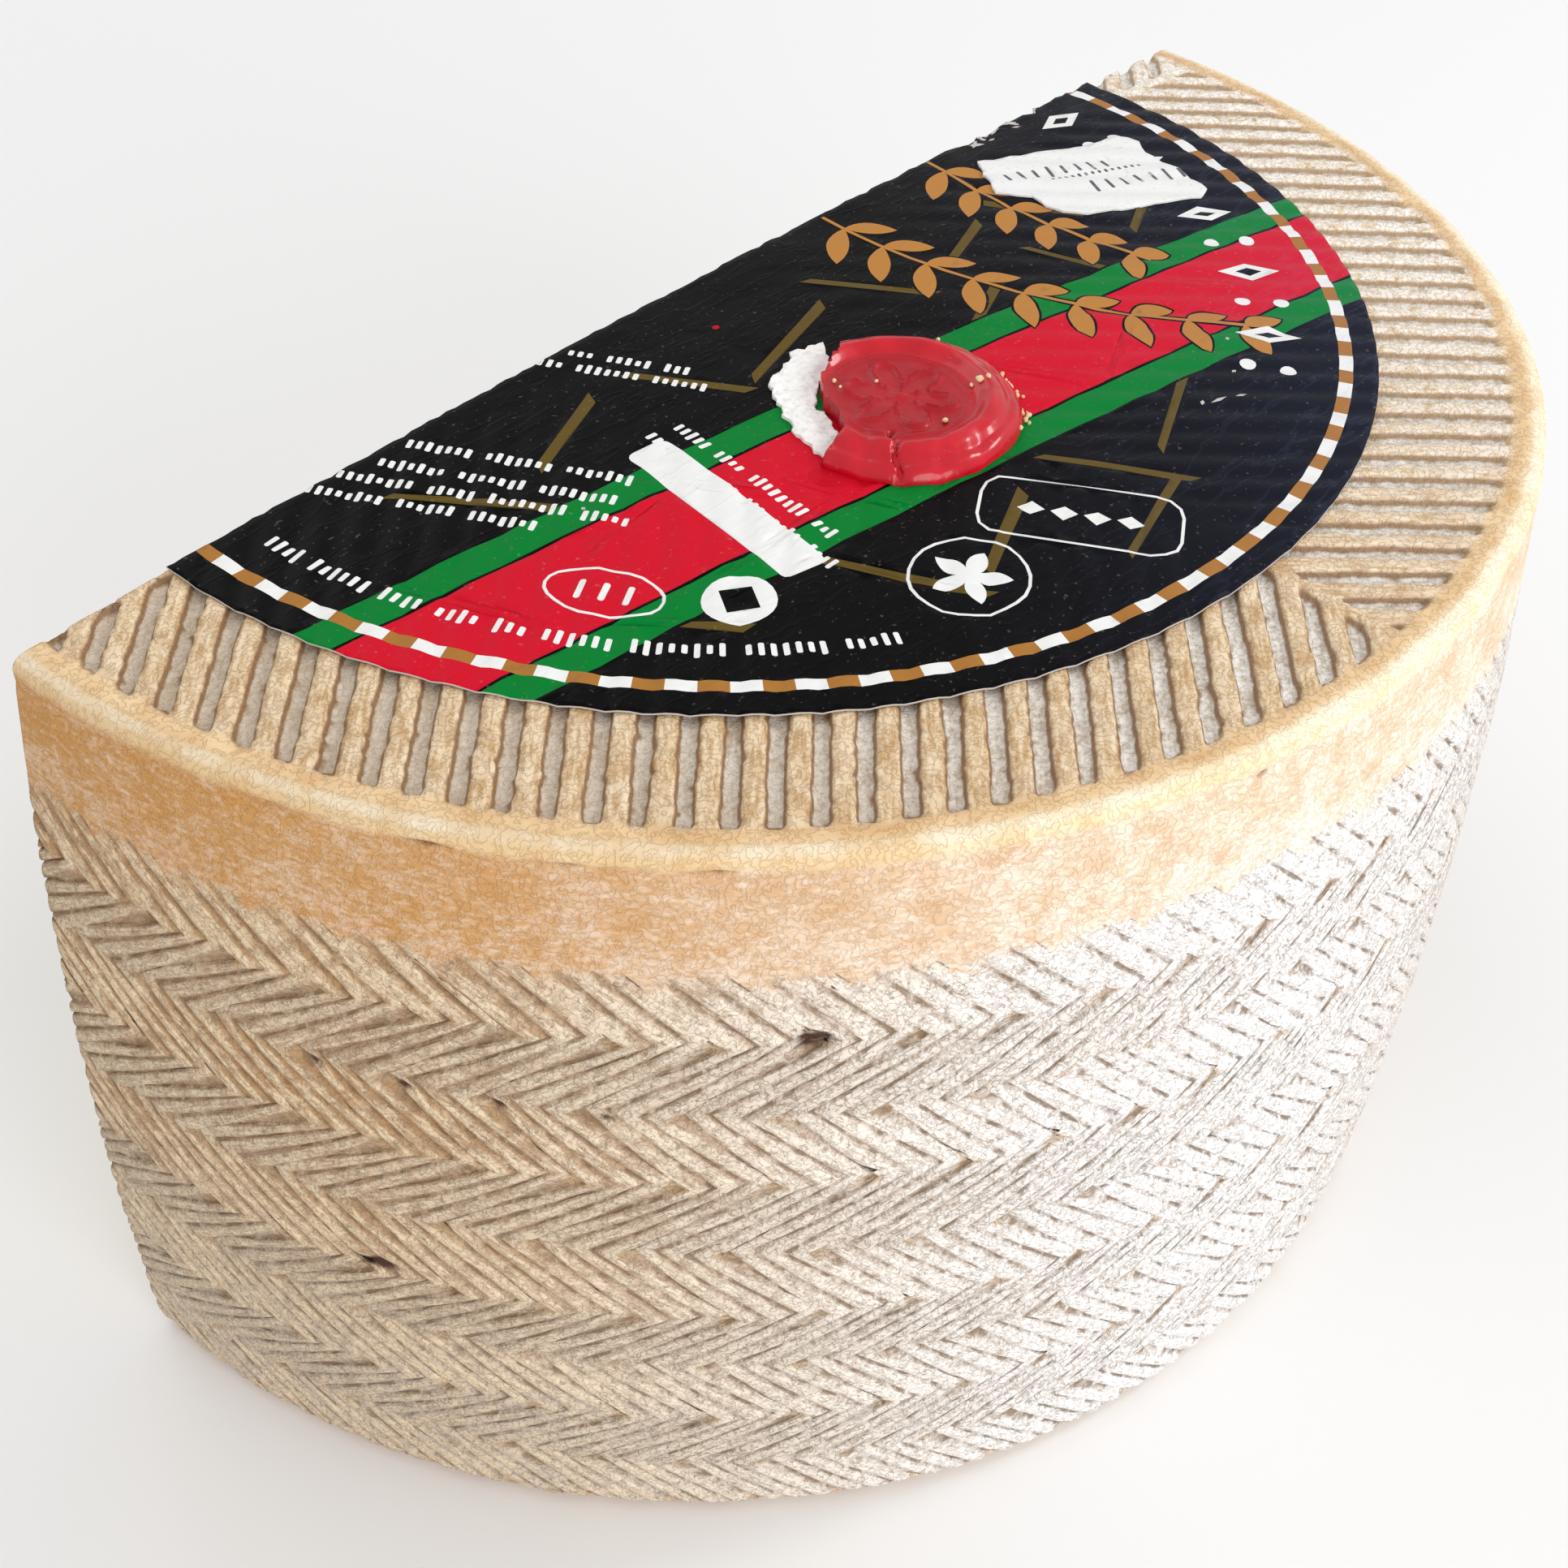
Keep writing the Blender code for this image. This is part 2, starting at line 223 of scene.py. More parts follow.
INKS = {
    "black": srgb(8, 7, 9),
    "white": srgb(236, 236, 234),
    "gold": srgb(186, 128, 62),
    "dash_gold": srgb(170, 116, 54),
    "olive": srgb(98, 80, 34),
    "green": srgb(0, 124, 48),
    "red": srgb(208, 18, 42),
    "wax": srgb(196, 12, 34),
    "paper": srgb(198, 190, 184),
    "grey": srgb(92, 92, 98),
}


class Number:
    """A number socket: an expression on it adds the Math nodes that work it out."""

    def __init__(self, graph, socket):
        self.graph = graph
        self.socket = socket

    def math(self, operation, *values):
        made = self.graph.tree.nodes.new("ShaderNodeMath")
        made.operation = operation
        for socket, value in zip(made.inputs, values):
            self.graph.feed(socket, value)
        return Number(self.graph, made.outputs[0])

    def __add__(self, other):
        return self.math("ADD", self, other)

    def __radd__(self, other):
        return self.math("ADD", other, self)

    def __sub__(self, other):
        return self.math("SUBTRACT", self, other)

    def __rsub__(self, other):
        return self.math("SUBTRACT", other, self)

    def __mul__(self, other):
        return self.math("MULTIPLY", self, other)

    def __rmul__(self, other):
        return self.math("MULTIPLY", other, self)

    def __truediv__(self, other):
        return self.math("DIVIDE", self, other)

    def __rtruediv__(self, other):
        return self.math("DIVIDE", other, self)

    def __pow__(self, other):
        return self.math("POWER", self, other)

    def __abs__(self):
        return self.math("ABSOLUTE", self)

    def floor(self):
        return self.math("FLOOR", self)

    def fraction(self):
        return self.math("FRACT", self)

    def least(self, other):
        return self.math("MINIMUM", self, other)

    def most(self, other):
        return self.math("MAXIMUM", self, other)

    def smooth(self, low, high):
        """0 at low, 1 at high, with a soft slope between."""
        return self.graph.number("ShaderNodeMapRange", {"interpolation_type": "SMOOTHSTEP"},
                                 {"Value": self, "From Min": low, "From Max": high})


class Graph:
    """A node tree, with one method for all its nodes but the Math ones."""

    def __init__(self, tree):
        self.tree = tree

    def feed(self, socket, value):
        if isinstance(value, Number):
            value = value.socket
        if isinstance(value, bpy.types.NodeSocket):
            self.tree.links.new(value, socket)
        else:
            socket.default_value = value

    def node(self, kind, settings=None, inputs=None):
        made = self.tree.nodes.new(kind)
        for name, value in (settings or {}).items():
            setattr(made, name, value)
        for name, value in (inputs or {}).items():
            self.feed(made.inputs[name], value)
        return made

    def number(self, kind, settings=None, inputs=None):
        return Number(self, self.node(kind, settings, inputs).outputs[0])

    def mix(self, share, first, second):
        """A colour between two colours."""
        made = self.node("ShaderNodeMix", {"data_type": "RGBA"}, {0: share, 6: first, 7: second})
        return made.outputs[2]

    def tone(self, share, first, second):
        """A colour between two that are given as a screen shows them."""
        return self.mix(share, srgb(*first), srgb(*second))

    def over(self, under, share, *tone):
        """A colour with a share of a plain one over it, given as a screen shows it."""
        return self.mix(share, under, srgb(*tone))


class Finish(Graph):
    """A material with its shader, its object coordinates and its noises."""

    def __init__(self, name, **constants):
        self.material = bpy.data.materials.new(name)
        self.material.use_nodes = True
        super().__init__(self.material.node_tree)
        self.shader = self.tree.nodes["Principled BSDF"]
        for key, value in constants.items():
            self.shader.inputs[key.replace("_", " ")].default_value = value
        self.place = self.node("ShaderNodeTexCoord").outputs["Object"]
        split = self.node("ShaderNodeSeparateXYZ", None, {0: self.place})
        self.x, self.y, self.z = (Number(self, output) for output in split.outputs)

    def attribute(self, name):
        made = self.node("ShaderNodeAttribute", {"attribute_name": name})
        return Number(self, made.outputs["Fac"])

    def attribute_colour(self, name):
        return self.node("ShaderNodeAttribute", {"attribute_name": name}).outputs["Color"]

    def texture(self, vector, scale, detail, rough):
        return self.number("ShaderNodeTexNoise", None,
                           {"Vector": vector, "Scale": scale, "Detail": detail, "Roughness": rough})

    def noise(self, size, detail=2.0, rough=0.5, stretch=(1.0, 1.0, 1.0), turn=0.0):
        """Noise whose blotches are about as large as size, in metres."""
        place = self.node("ShaderNodeMapping", None,
                          {"Vector": self.place, "Scale": stretch, "Rotation": (0.0, 0.0, turn)})
        return self.texture(place.outputs[0], 1.0 / size, detail, rough)

    def noise_at(self, place, scale, detail, rough):
        """Noise at a place that is given as three numbers."""
        vector = self.node("ShaderNodeCombineXYZ", None, dict(enumerate(place)))
        return self.texture(vector.outputs[0], scale, detail, rough)

    def bump(self, height, depth, strength=1.0):
        made = self.node("ShaderNodeBump", None,
                         {"Height": height, "Distance": depth, "Strength": strength})
        self.feed(self.shader.inputs["Normal"], made.outputs[0])

    def colour(self, value):
        self.feed(self.shader.inputs["Base Color"], value)

    def roughness(self, value):
        self.feed(self.shader.inputs["Roughness"], value)


def drum_radius(height):
    share = height / HEIGHT
    straight = BOTTOM_RADIUS + (TOP_RADIUS - BOTTOM_RADIUS) * share
    return straight + BARREL_BULGE * 4.0 * share * (1.0 - share)


def crown_height(radius):
    return HEIGHT + CROWN * np.clip(1.0 - (radius / CROWN_RADIUS) ** 2, 0.0, 1.0)


def bearing_vector(degrees):
    return np.array((math.cos(math.radians(degrees)), math.sin(math.radians(degrees))))


def link_object(name, data, materials=()):
    for material in materials:
        data.materials.append(material)
    item = bpy.data.objects.new(name, data)
    bpy.context.scene.collection.objects.link(item)
    return item


def finish_piece(item, slot, *nodes):
    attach(item, "root")
    if nodes:
        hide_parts(*nodes)


# The side of the wheel
def strand_positions():
    """Strand numbers of all columns, whole numbers in the gaps between two strands."""
    first = -STRANDS // 2 - STRANDS_PAST_CUT
    last = STRANDS_PAST_CUT
    columns = [strand + share for strand in range(first, last) for share in STRAND_SHARES]
    return np.array(columns + [float(last)])


def band_turns():
    """The turn of the strands at each edge of the bands, which lean by turns right and left."""
    turns = [0.0]
    for index in range(1, len(BAND_EDGES)):
        lean = LEAN_DOWN_RIGHT if index % 2 else -LEAN_DOWN_LEFT
        rise = BAND_EDGES[index] - BAND_EDGES[index - 1]
        turns.append(turns[-1] - rise / math.tan(lean) / TOP_RADIUS)
    return np.array(turns) - turns[-1]


def band_edge_heights(strand):
    """Height of each band edge in each column: the strips' ends make steps in it."""
    strip = (strand / STRANDS_IN_STRIP) % 1.0
    rows = []
    for index, edge in enumerate(BAND_EDGES):
        if index == 0:
            rows.append(np.full_like(strand, edge))
        elif index == len(BAND_EDGES) - 1:
            rows.append(edge - TOP_BAND_STEP * np.clip(1.0 - strip / 0.45, 0.0, 1.0) ** 1.5)
        elif index % 2 == 0:
            rows.append(edge + BAND_STEP * (strip * 1.6 - 0.8))
        else:
            rows.append(edge + BAND_STEP * (0.8 - strip * 1.6))
    return rows


def side_rows(strand):
    """Every row of the side, from the bottom ring to the top ring: height, radius, turn and marks."""
    turns = band_turns()
    edges = band_edge_heights(strand)
    level = np.ones_like(strand)
    rows = []

    def plain_row(height, radius, turn):
        rows.append((height * level, radius * level, turn, 0.0 * level, -1, 0.0))

    for height, radius in BASE_PROFILE:
        plain_row(height * MM, radius * MM, turns[0])
    last_band = len(BAND_EDGES) - 2
    for band in range(last_band + 1):
        for step in range(ROWS_IN_BAND):
            share = step / ROWS_IN_BAND
            height = edges[band] * (1.0 - share) + edges[band + 1] * share
            turn = turns[band] * (1.0 - share) + turns[band + 1] * share
            fade = 1.0 - TOP_STRANDS_FADE * max(0.0, share - 0.5) / 0.5 if band == last_band else 1.0
            rows.append((height, drum_radius(height), turn, share * level, band, fade))
    for step in range(SMOOTH_ROWS):
        share = step / SMOOTH_ROWS
        height = edges[-1] * (1.0 - share) + LIP_START * share
        plain_row(height, drum_radius(height), 0.0)
    for height, radius in RIM_PROFILE:
        plain_row(height * MM, radius * MM, 0.0)
    return rows


# The two faces
def groove_place(x, y):
    """How far each point lies from the middle of its groove, and how far inside the groove's ends."""
    across = np.full_like(x, 0.01)
    inside = np.full_like(x, -0.01)
    from_centre = np.stack([x - PATTERN_CENTRE[0], y - PATTERN_CENTRE[1]])
    bearing = np.degrees(np.arctan2(from_centre[1], from_centre[0])) % 360.0
    for start, end, direction, pitch, phase in SECTORS:
        here = ((bearing - start) % 360.0) < (end - start)
        along = bearing_vector(direction)
        side = np.array((-along[1], along[0]))
        offset = from_centre[0] * side[0] + from_centre[1] * side[1]
        nearest = np.round((offset - phase) / pitch) * pitch + phase
        first = bearing_vector(start)
        last = bearing_vector(end)
        to_first = first[0] * from_centre[1] - first[1] * from_centre[0]
        to_last = last[1] * from_centre[0] - last[0] * from_centre[1]
        to_mitre = np.minimum(to_first, to_last) - MITRE_GAP * 0.5
        to_rim = GROOVE_REACH - np.hypot(x, y)
        across = np.where(here, np.abs(offset - nearest), across)
        inside = np.where(here, np.minimum(to_mitre, to_rim), inside)
    return across, inside


def groove_grid(lines, step, inner, outer, far_y):
    """Points on lines that follow the grooves, between two radii."""
    found = []
    for start, end, direction, pitch, phase in SECTORS:
        along = bearing_vector(direction)
        side = np.array((-along[1], along[0]))
        count = int(outer / pitch) + 2
        offsets = np.sort(np.concatenate([
            (np.arange(-count, count + 1) * pitch + phase) + line for line in lines(pitch)]))
        u, v = np.meshgrid(np.arange(-outer * 1.2, outer * 1.2, step), offsets)
        x = PATTERN_CENTRE[0] + along[0] * u + side[0] * v
        y = PATTERN_CENTRE[1] + along[1] * u + side[1] * v
        bearing = np.degrees(np.arctan2(y - PATTERN_CENTRE[1], x - PATTERN_CENTRE[0])) % 360.0
        radius = np.hypot(x, y)
        keep = ((bearing - start) % 360.0) < (end - start)
        keep &= (radius > inner) & (radius < outer) & (y < far_y)
        found.append(np.stack([x[keep], y[keep]], axis=1))
    return np.concatenate(found)


def fill_face(ring, points, gap):
    """Triangles of a flat region: a closed ring of points and loose points inside it."""
    ring_set = [Vector(point) for point in ring]
    inner = [Vector(point) for point in points]
    edges = [(index, (index + 1) % len(ring_set)) for index in range(len(ring_set))]
    found = delaunay_2d_cdt(ring_set + inner, edges, [], 1, gap)
    return found[0], found[2], found[3]


def add_face(points, faces, marks, ring_indices, ring, inner, height_of, up):
    """Adds one pressed face of the wheel inside its ring of existing points."""
    found, triangles, origins = fill_face(ring, inner, 1e-7)
    index_of = []
    for place, origin in zip(found, origins):
        old = [number for number in origin if number < len(ring)]
        if old:
            index_of.append(ring_indices[old[0]])
            continue
        index_of.append(len(points))
        x, y = place.x, place.y
        points.append((x, y, height_of(math.hypot(x, y))))
        across, inside = groove_place(np.array([x]), np.array([y]))
        marks.append((0.0, 0.0, -1.0, 0.0, float(across[0]), float(inside[0])))
    for triangle in triangles:
        corner = [index_of[number] for number in triangle]
        if len(set(corner)) < 3:
            continue
        a, b, c = (points[number] for number in corner)
        turn = (b[0] - a[0]) * (c[1] - a[1]) - (b[1] - a[1]) * (c[0] - a[0])
        if abs(turn) < 1e-14:
            continue
        faces.append(tuple(corner) if (turn > 0.0) == up else tuple(reversed(corner)))


def blemish_marks(points):
    """How strongly each point of the side is stained."""
    place = np.array(points, dtype=float)
    bearing = np.degrees(np.arctan2(place[:, 1], place[:, 0]))
    bearing = np.where(bearing > 20.0, bearing - 360.0, bearing)
    marks = np.zeros(len(place))
    for where, height, length, depth, strength in BLEMISHES:
        across = (bearing - where) * math.radians(1.0) * TOP_RADIUS / (length * 0.5 * MM)
        rise = (place[:, 2] - height * MM) / (depth * 0.5 * MM)
        marks = np.maximum(marks, strength * np.exp(-(across ** 2 + rise ** 2)))
    on_side = np.hypot(place[:, 0], place[:, 1]) > 99.0 * MM
    return marks * on_side


def make_rind_mesh():
    """The outside of the wheel, some way past the cut, with the marks that its relief needs."""
    strand = strand_positions()
    count = len(strand)
    points = []
    marks = []
    faces = []
    rows = side_rows(strand)
    for height, radius, turn, lift, band, plait in rows:
        angle = 2.0 * math.pi * strand / STRANDS + turn
        x = radius * np.cos(angle)
        y = radius * np.sin(angle)
        points.extend(zip(x, y, height))
        marks.extend((s, t, float(band), plait, 0.01, -0.01) for s, t in zip(strand, lift))
    for row in range(len(rows) - 1):
        start = row * count
        for column in range(count - 1):
            a = start + column
            faces.append((a, a + 1, a + 1 + count, a + count))

    def fine(pitch):
        return (0.0, 0.62 * MM, 0.86 * MM, 1.12 * MM, 1.5 * MM, pitch * 0.5,
                -0.62 * MM, -0.86 * MM, -1.12 * MM, -1.5 * MM)

    def coarse(pitch):
        return (-1.15 * MM, -0.65 * MM, 0.65 * MM, 1.15 * MM, pitch * 0.5)

    top_ring = list(range((len(rows) - 1) * count, len(rows) * count))
    loop = [points[index][:2] for index in top_ring]
    inner = groove_grid(fine, 0.75 * MM, UNDER_LABEL, FACE_RING - 0.4 * MM, PAST_CUT)
    hidden = np.array([(x, y) for x in np.arange(-0.09, 0.0901, 0.006)
                       for y in np.arange(-0.09, PAST_CUT, 0.006)
                       if math.hypot(x, y) < UNDER_LABEL - 0.002])
    add_face(points, faces, marks, top_ring, loop, np.concatenate([inner, hidden]), crown_height, True)
    bottom_ring = list(range(count))
    loop = [points[index][:2] for index in bottom_ring]
    inner = groove_grid(coarse, 2.0 * MM, 0.0, BASE_REACH, PAST_CUT)
    add_face(points, faces, marks, bottom_ring, loop, inner, lambda radius: FOOT_HEIGHT, False)
    mesh = bpy.data.meshes.new("half_wheel")
    mesh.from_pydata([tuple(map(float, point)) for point in points], [], faces)
    names = ("strand", "lift", "band", "plait", "groove_across", "groove_inside")
    table = np.array(marks, dtype=np.float32)
    columns = [table[:, column] for column in range(len(names))]
    for name, column in zip(names + ("blemish",), columns + [blemish_marks(points).astype(np.float32)]):
        layer = mesh.attributes.new(name, "FLOAT", "POINT")
        layer.data.foreach_set("value", np.ascontiguousarray(column))
    mesh.shade_smooth()
    mesh.update()
    return mesh


def pressed_relief_tree(material):
    """The plait, the grooves and the crust, raised and sunk along the surface's own direction."""
    tree = bpy.data.node_groups.new("pressed_relief", "GeometryNodeTree")
    face = tree.interface
    face.new_socket("Geometry", in_out="INPUT", socket_type="NodeSocketGeometry")
    for name in ("Strand Relief", "Strip Relief", "Groove Depth", "Groove Width", "Groove Floor",
                 "Crust"):
        face.new_socket(name, in_out="INPUT", socket_type="NodeSocketFloat")
    face.new_socket("Geometry", in_out="OUTPUT", socket_type="NodeSocketGeometry")
    graph = Graph(tree)
    given = graph.node("NodeGroupInput")
    size = {output.name: Number(graph, output) for output in given.outputs if output.name != "Geometry"}

    def mark(name):
        made = graph.node("GeometryNodeInputNamedAttribute", {"data_type": "FLOAT"}, {"Name": name})
        return Number(graph, made.outputs["Attribute"])

    def speckle(scale, detail=2.0):
        return graph.number("ShaderNodeTexNoise", None, {"Scale": scale, "Detail": detail}) - 0.5

    def chance(first, second):
        place = graph.node("ShaderNodeCombineXYZ", None, {0: first, 1: second})
        return graph.number("ShaderNodeTexWhiteNoise", {"noise_dimensions": "2D"},
                            {"Vector": place.outputs[0]}) - 0.5

    strand = mark("strand")
    lift = mark("lift")
    band = mark("band")
    plait = mark("plait")
    blemish = mark("blemish")
    in_strand = strand.fraction()
    to_gap = in_strand.least(1.0 - in_strand) + speckle(480.0) * 0.12
    gap = 1.0 - to_gap.smooth(0.0, 0.17)
    strip = (strand / STRANDS_IN_STRIP).fraction()
    to_strip_gap = strip.least(1.0 - strip)
    strip_gap = 1.0 - to_strip_gap.smooth(0.0, 0.07)
    gap_share = (0.6 + speckle(220.0) * 2.4).most(0.05).least(1.1)
    end = lift.least(1.0 - lift)
    corner = (1.0 - end.smooth(0.0, 0.16)) * (1.0 - to_strip_gap.smooth(0.02, 0.22))
    rough = chance(strand.floor(), band)
    rough_strip = chance((strand / STRANDS_IN_STRIP).floor() + 31.0, band)
    crown = 1.0 - abs(in_strand * 2.0 - 1.0) ** 2.0
    side = ((crown * 0.35 - gap * gap_share + rough * 0.3) * size["Strand Relief"]
            + (rough_strip * 0.5 - strip_gap * 0.4 - corner * 0.9) * size["Strip Relief"])
    half_floor = size["Groove Floor"] * 0.5
    half_width = size["Groove Width"] * 0.5
    ragged = speckle(650.0) * (0.8 * MM) + speckle(190.0) * (0.5 * MM)
    wall = (half_width - mark("groove_across") - ragged) / (half_width - half_floor)
    groove_end = ((mark("groove_inside") + ragged) / (0.8 * MM)).most(0.0).least(1.0)
    trough = wall.most(0.0).least(1.0) * groove_end
    crust = (speckle(50.0) * 1.2 + speckle(210.0, 3.0) * 0.8 + speckle(850.0) * 0.6) * size["Crust"]
    raised = plait * side - trough * size["Groove Depth"] + crust - blemish * (0.9 * MM)
    along = graph.node("ShaderNodeVectorMath", {"operation": "SCALE"},
                       {0: graph.node("GeometryNodeInputNormal").outputs[0], "Scale": raised})
    flow = given.outputs["Geometry"]
    notch = (strip_gap * 0.3 + corner).least(1.0) * plait
    for name, value in (("notch", notch), ("trough", trough), ("rough", rough_strip)):
        stored = graph.node("GeometryNodeStoreNamedAttribute", {"data_type": "FLOAT", "domain": "POINT"},
                            {"Geometry": flow, "Name": name, "Value": value})
        flow = stored.outputs[0]
    moved = graph.node("GeometryNodeSetPosition", None, {"Geometry": flow, "Offset": along.outputs[0]})
    realized = graph.node("GeometryNodeRealizeInstances", None, {"Geometry": moved.outputs[0]})
    dressed = graph.node("GeometryNodeSetMaterial", None,
                         {"Geometry": realized.outputs[0], "Material": material})
    graph.node("NodeGroupOutput", None, {"Geometry": dressed.outputs[0]})
    return tree


def plain_mesh(item, tree, **sizes):
    """The mesh that a node tree makes of an object's mesh."""
    modifier = item.modifiers.new("relief", "NODES")
    modifier.node_group = tree
    for socket in tree.interface.items_tree:
        name = socket.name.replace(" ", "_")
        if socket.item_type == "SOCKET" and socket.in_out == "INPUT" and name in sizes:
            modifier[socket.identifier] = sizes[name]
    graph = bpy.context.evaluated_depsgraph_get()
    mesh = bpy.data.meshes.new_from_object(item.evaluated_get(graph))
    item.modifiers.remove(modifier)
    return mesh


def cut_in_half(mesh):
    """Cuts the wheel at its straight face and closes the cut with a face of its own finish."""
    shape = bmesh.new()
    shape.from_mesh(mesh)
    bmesh.ops.bisect_plane(shape, geom=shape.verts[:] + shape.edges[:] + shape.faces[:], dist=1e-7,
                           plane_co=(0.0, CUT_PAST_AXIS, 0.0), plane_no=(0.0, 1.0, 0.0),
                           clear_outer=True)
    border = [edge for edge in shape.edges if edge.is_boundary]
    start = border[0].verts[0]
    loop = [start]
    came_by = None
    here = start
    while True:
        onward = [edge for edge in here.link_edges if edge.is_boundary and edge is not came_by]
        came_by = onward[0]
        here = came_by.other_vert(here)
        if here is start:
            break
        loop.append(here)
    ring = [(vertex.co.x, vertex.co.z) for vertex in loop]
    spacing = 2.6 * MM
    inner = []
    for number, height in enumerate(np.arange(3.0 * MM, HEIGHT - 2.0 * MM, spacing)):
        shift = spacing * 0.5 * (number % 2)
        inner += [(x + shift, height) for x in np.arange(-97.0 * MM, 95.0 * MM, spacing)]
    found, triangles, origins = fill_face(ring, inner, 1e-8)
    made = []
    for place, origin in zip(found, origins):
        old = [number for number in origin if number < len(ring)]
        made.append(loop[old[0]] if old else shape.verts.new((place.x, CUT_PAST_AXIS, place.y)))
    for triangle in triangles:
        corner = [made[number] for number in triangle]
        if len(set(corner)) < 3:
            continue
        face = shape.faces.get(corner) or shape.faces.new(corner)
        face.material_index = 1
        face.smooth = False
        face.normal_update()
        if face.normal.y < 0.0:
            face.normal_flip()
    cut = bpy.data.meshes.new("half_wheel")
    shape.to_mesh(cut)
    shape.free()
    return cut


class RindFinish(Finish):
    """The rind, with the noises and masks that its plait, its smooth band and its faces share."""

    def __init__(self):
        super().__init__("rind", Specular_IOR_Level=0.3)
        self.patch = self.noise(5.0 * MM, 3.0, 0.6)
        self.grain = self.noise(1.5 * MM, 3.0, 0.6)
        self.fine = self.noise(0.7 * MM, 3.0, 0.65)
        self.squiggle = 1.0 - abs(self.noise(0.9 * MM, 2.0, 0.5) - 0.5).smooth(0.01, 0.05)
        # Masks for painted light and shade: the left side, turned from the key lamp, is painted darker
        # and browner as painted shade, and the right side, which faces it, is painted paler as painted
        # light, save the bloom, which is greyed there against the lamp's glare.
        self.shaded_left = (self.x * -1.0).smooth(10.0 * MM, 98.0 * MM)
        self.shaded_far_left = self.shaded_left * self.shaded_left
        self.lit_right = self.x.smooth(-20.0 * MM, 80.0 * MM)
        self.from_axis = (self.x * self.x + (self.y - AXIS_Y) * (self.y - AXIS_Y)) ** 0.5
        self.plait = self.attribute("plait")
        strand = self.attribute("strand")
        in_strand = strand.fraction()
        self.comb = self.noise_at((strand * 3.3, self.z * 300.0, 0.0), 1.5, 3.0, 0.6)
        self.to_gap = in_strand.least(1.0 - in_strand) * 3.3 + (self.comb - 0.5) * 1.3
        broken = self.noise(2.6 * MM, 2.0, 0.6).smooth(0.42, 0.6)
        self.gap = (1.0 - self.to_gap.smooth(0.06, 0.42)) * (broken * 0.9 + 0.1)
        self.lip = (self.z + (self.patch - 0.5) * (1.4 * MM)).smooth(105.8 * MM, 107.6 * MM)
        self.rim_ring = (self.from_axis + (self.patch - 0.5) * (3.0 * MM)).smooth(95.4 * MM, 97.0 * MM)
        self.on_face = 1.0 - self.from_axis.smooth(97.4 * MM, 99.0 * MM)

    def plait_colour(self):
        """White bloom over greyish tan strands, with brown in the gaps between them that is partly the
        rind's colour and partly painted shade; the left side is painted darker and browner as painted
        shade.
        """
        # Painted shade: every other band, whose strands lean the other way, is painted greyer and gets
        # more dark curls, most on the left.
        shaded_slash_band = 1.0 - abs((self.attribute("band") * 0.5).fraction() * 2.0 - 1.0)
        # Painted shade: the bloom and the bare skin turn browner towards the left, and the bloom is
        # greyed on the lit right against the key lamp's glare.
        bloom = self.tone(self.shaded_far_left, (252, 250, 250), (226, 203, 170))
        bloom = self.over(bloom, self.lit_right * 0.9, 198, 188, 175)
        bare = self.tone(self.shaded_far_left, (210, 198, 188), (162, 116, 68))
        near_base = 1.0 - self.z.smooth(14.0 * MM, 62.0 * MM)
        bare = self.over(bare, near_base * 0.7, 206, 199, 190)
        flank = 1.0 - self.to_gap.smooth(0.1, 1.2)
        bare_share = (self.patch * 0.7 + self.grain * 0.5 + self.comb * 1.3 - 1.46 + self.shaded_left * 0.36
                      + self.attribute("rough") * 0.1 + flank * 0.3).smooth(0.0, 0.5)
        side = self.mix(bare_share * (0.55 + self.shaded_left * 0.3), bloom, bare)
        side = self.over(side, shaded_slash_band * (0.1 + self.shaded_left * 0.18), 172, 160, 148)
        notch = (self.attribute("notch") + (self.grain - 0.5) * 0.9).smooth(0.25, 0.8)
        side = self.over(side, notch * 0.6, 192, 160, 120)
        combed = 1.0 - abs(self.comb - 0.5).smooth(0.0, 0.055)
        side = self.over(side, combed * (self.grain * 1.5 - 0.4).most(0.0), 136, 114, 90)
        # The gaps' brown is partly the rind's colour and partly painted shade in the gaps, darker on the
        # shaded left.
        gap_colour = self.tone(self.lit_right, (134, 104, 72), (162, 138, 110))
        side = self.mix(self.gap * 0.85, side, gap_colour)
        curls = self.squiggle * (self.grain * 0.8 - 0.08 + shaded_slash_band * 0.15).most(0.0)
        side = self.over(side, curls, 140, 122, 102)
        speck = (0.43 - self.fine).smooth(0.0, 0.08)
        return self.over(side, speck * 0.5, 126, 108, 88)

    def band_colour(self):
        """Tan skin under a pale film, which turns to butter yellow at the lip. The butter is partly the
        rind's colour and partly a painted highlight on the lip; the left side is painted darker and
        browner as painted shade.
        """
        skin = self.tone(self.patch.smooth(0.3, 0.7), (226, 195, 162), (240, 219, 196))
        # Painted shade: the skin is browner, the film thinner and the butter darker towards the left.
        skin = self.over(skin, self.shaded_far_left * 0.95, 190, 136, 70)
        streak = self.noise(1.7 * MM, 4.0, 0.65, stretch=(1.0, 1.0, 3.0))
        low = 1.0 - self.z.smooth(94.0 * MM, 102.0 * MM)
        film = ((streak - 0.5) * 2.6 + (self.fine - 0.5) * 1.4 + (self.patch - 0.5) * 1.4
                + low * 0.3).smooth(-0.3, 0.9)
        band = self.over(skin, film * (0.85 - self.shaded_left * 0.52), 250, 242, 232)
        band = self.over(band, self.squiggle * (0.08 + self.grain * 0.2), 170, 126, 82)
        # The butter is partly the rind's colour and partly a painted highlight on the lip.
        butter = self.tone(self.patch.smooth(0.3, 0.7), (248, 218, 172), (255, 240, 208))
        butter = self.over(butter, self.shaded_left * 0.7, 206, 168, 114)
        butter = self.over(butter, self.squiggle * 0.16, 176, 132, 84)
        return self.mix(self.lip, band, butter)

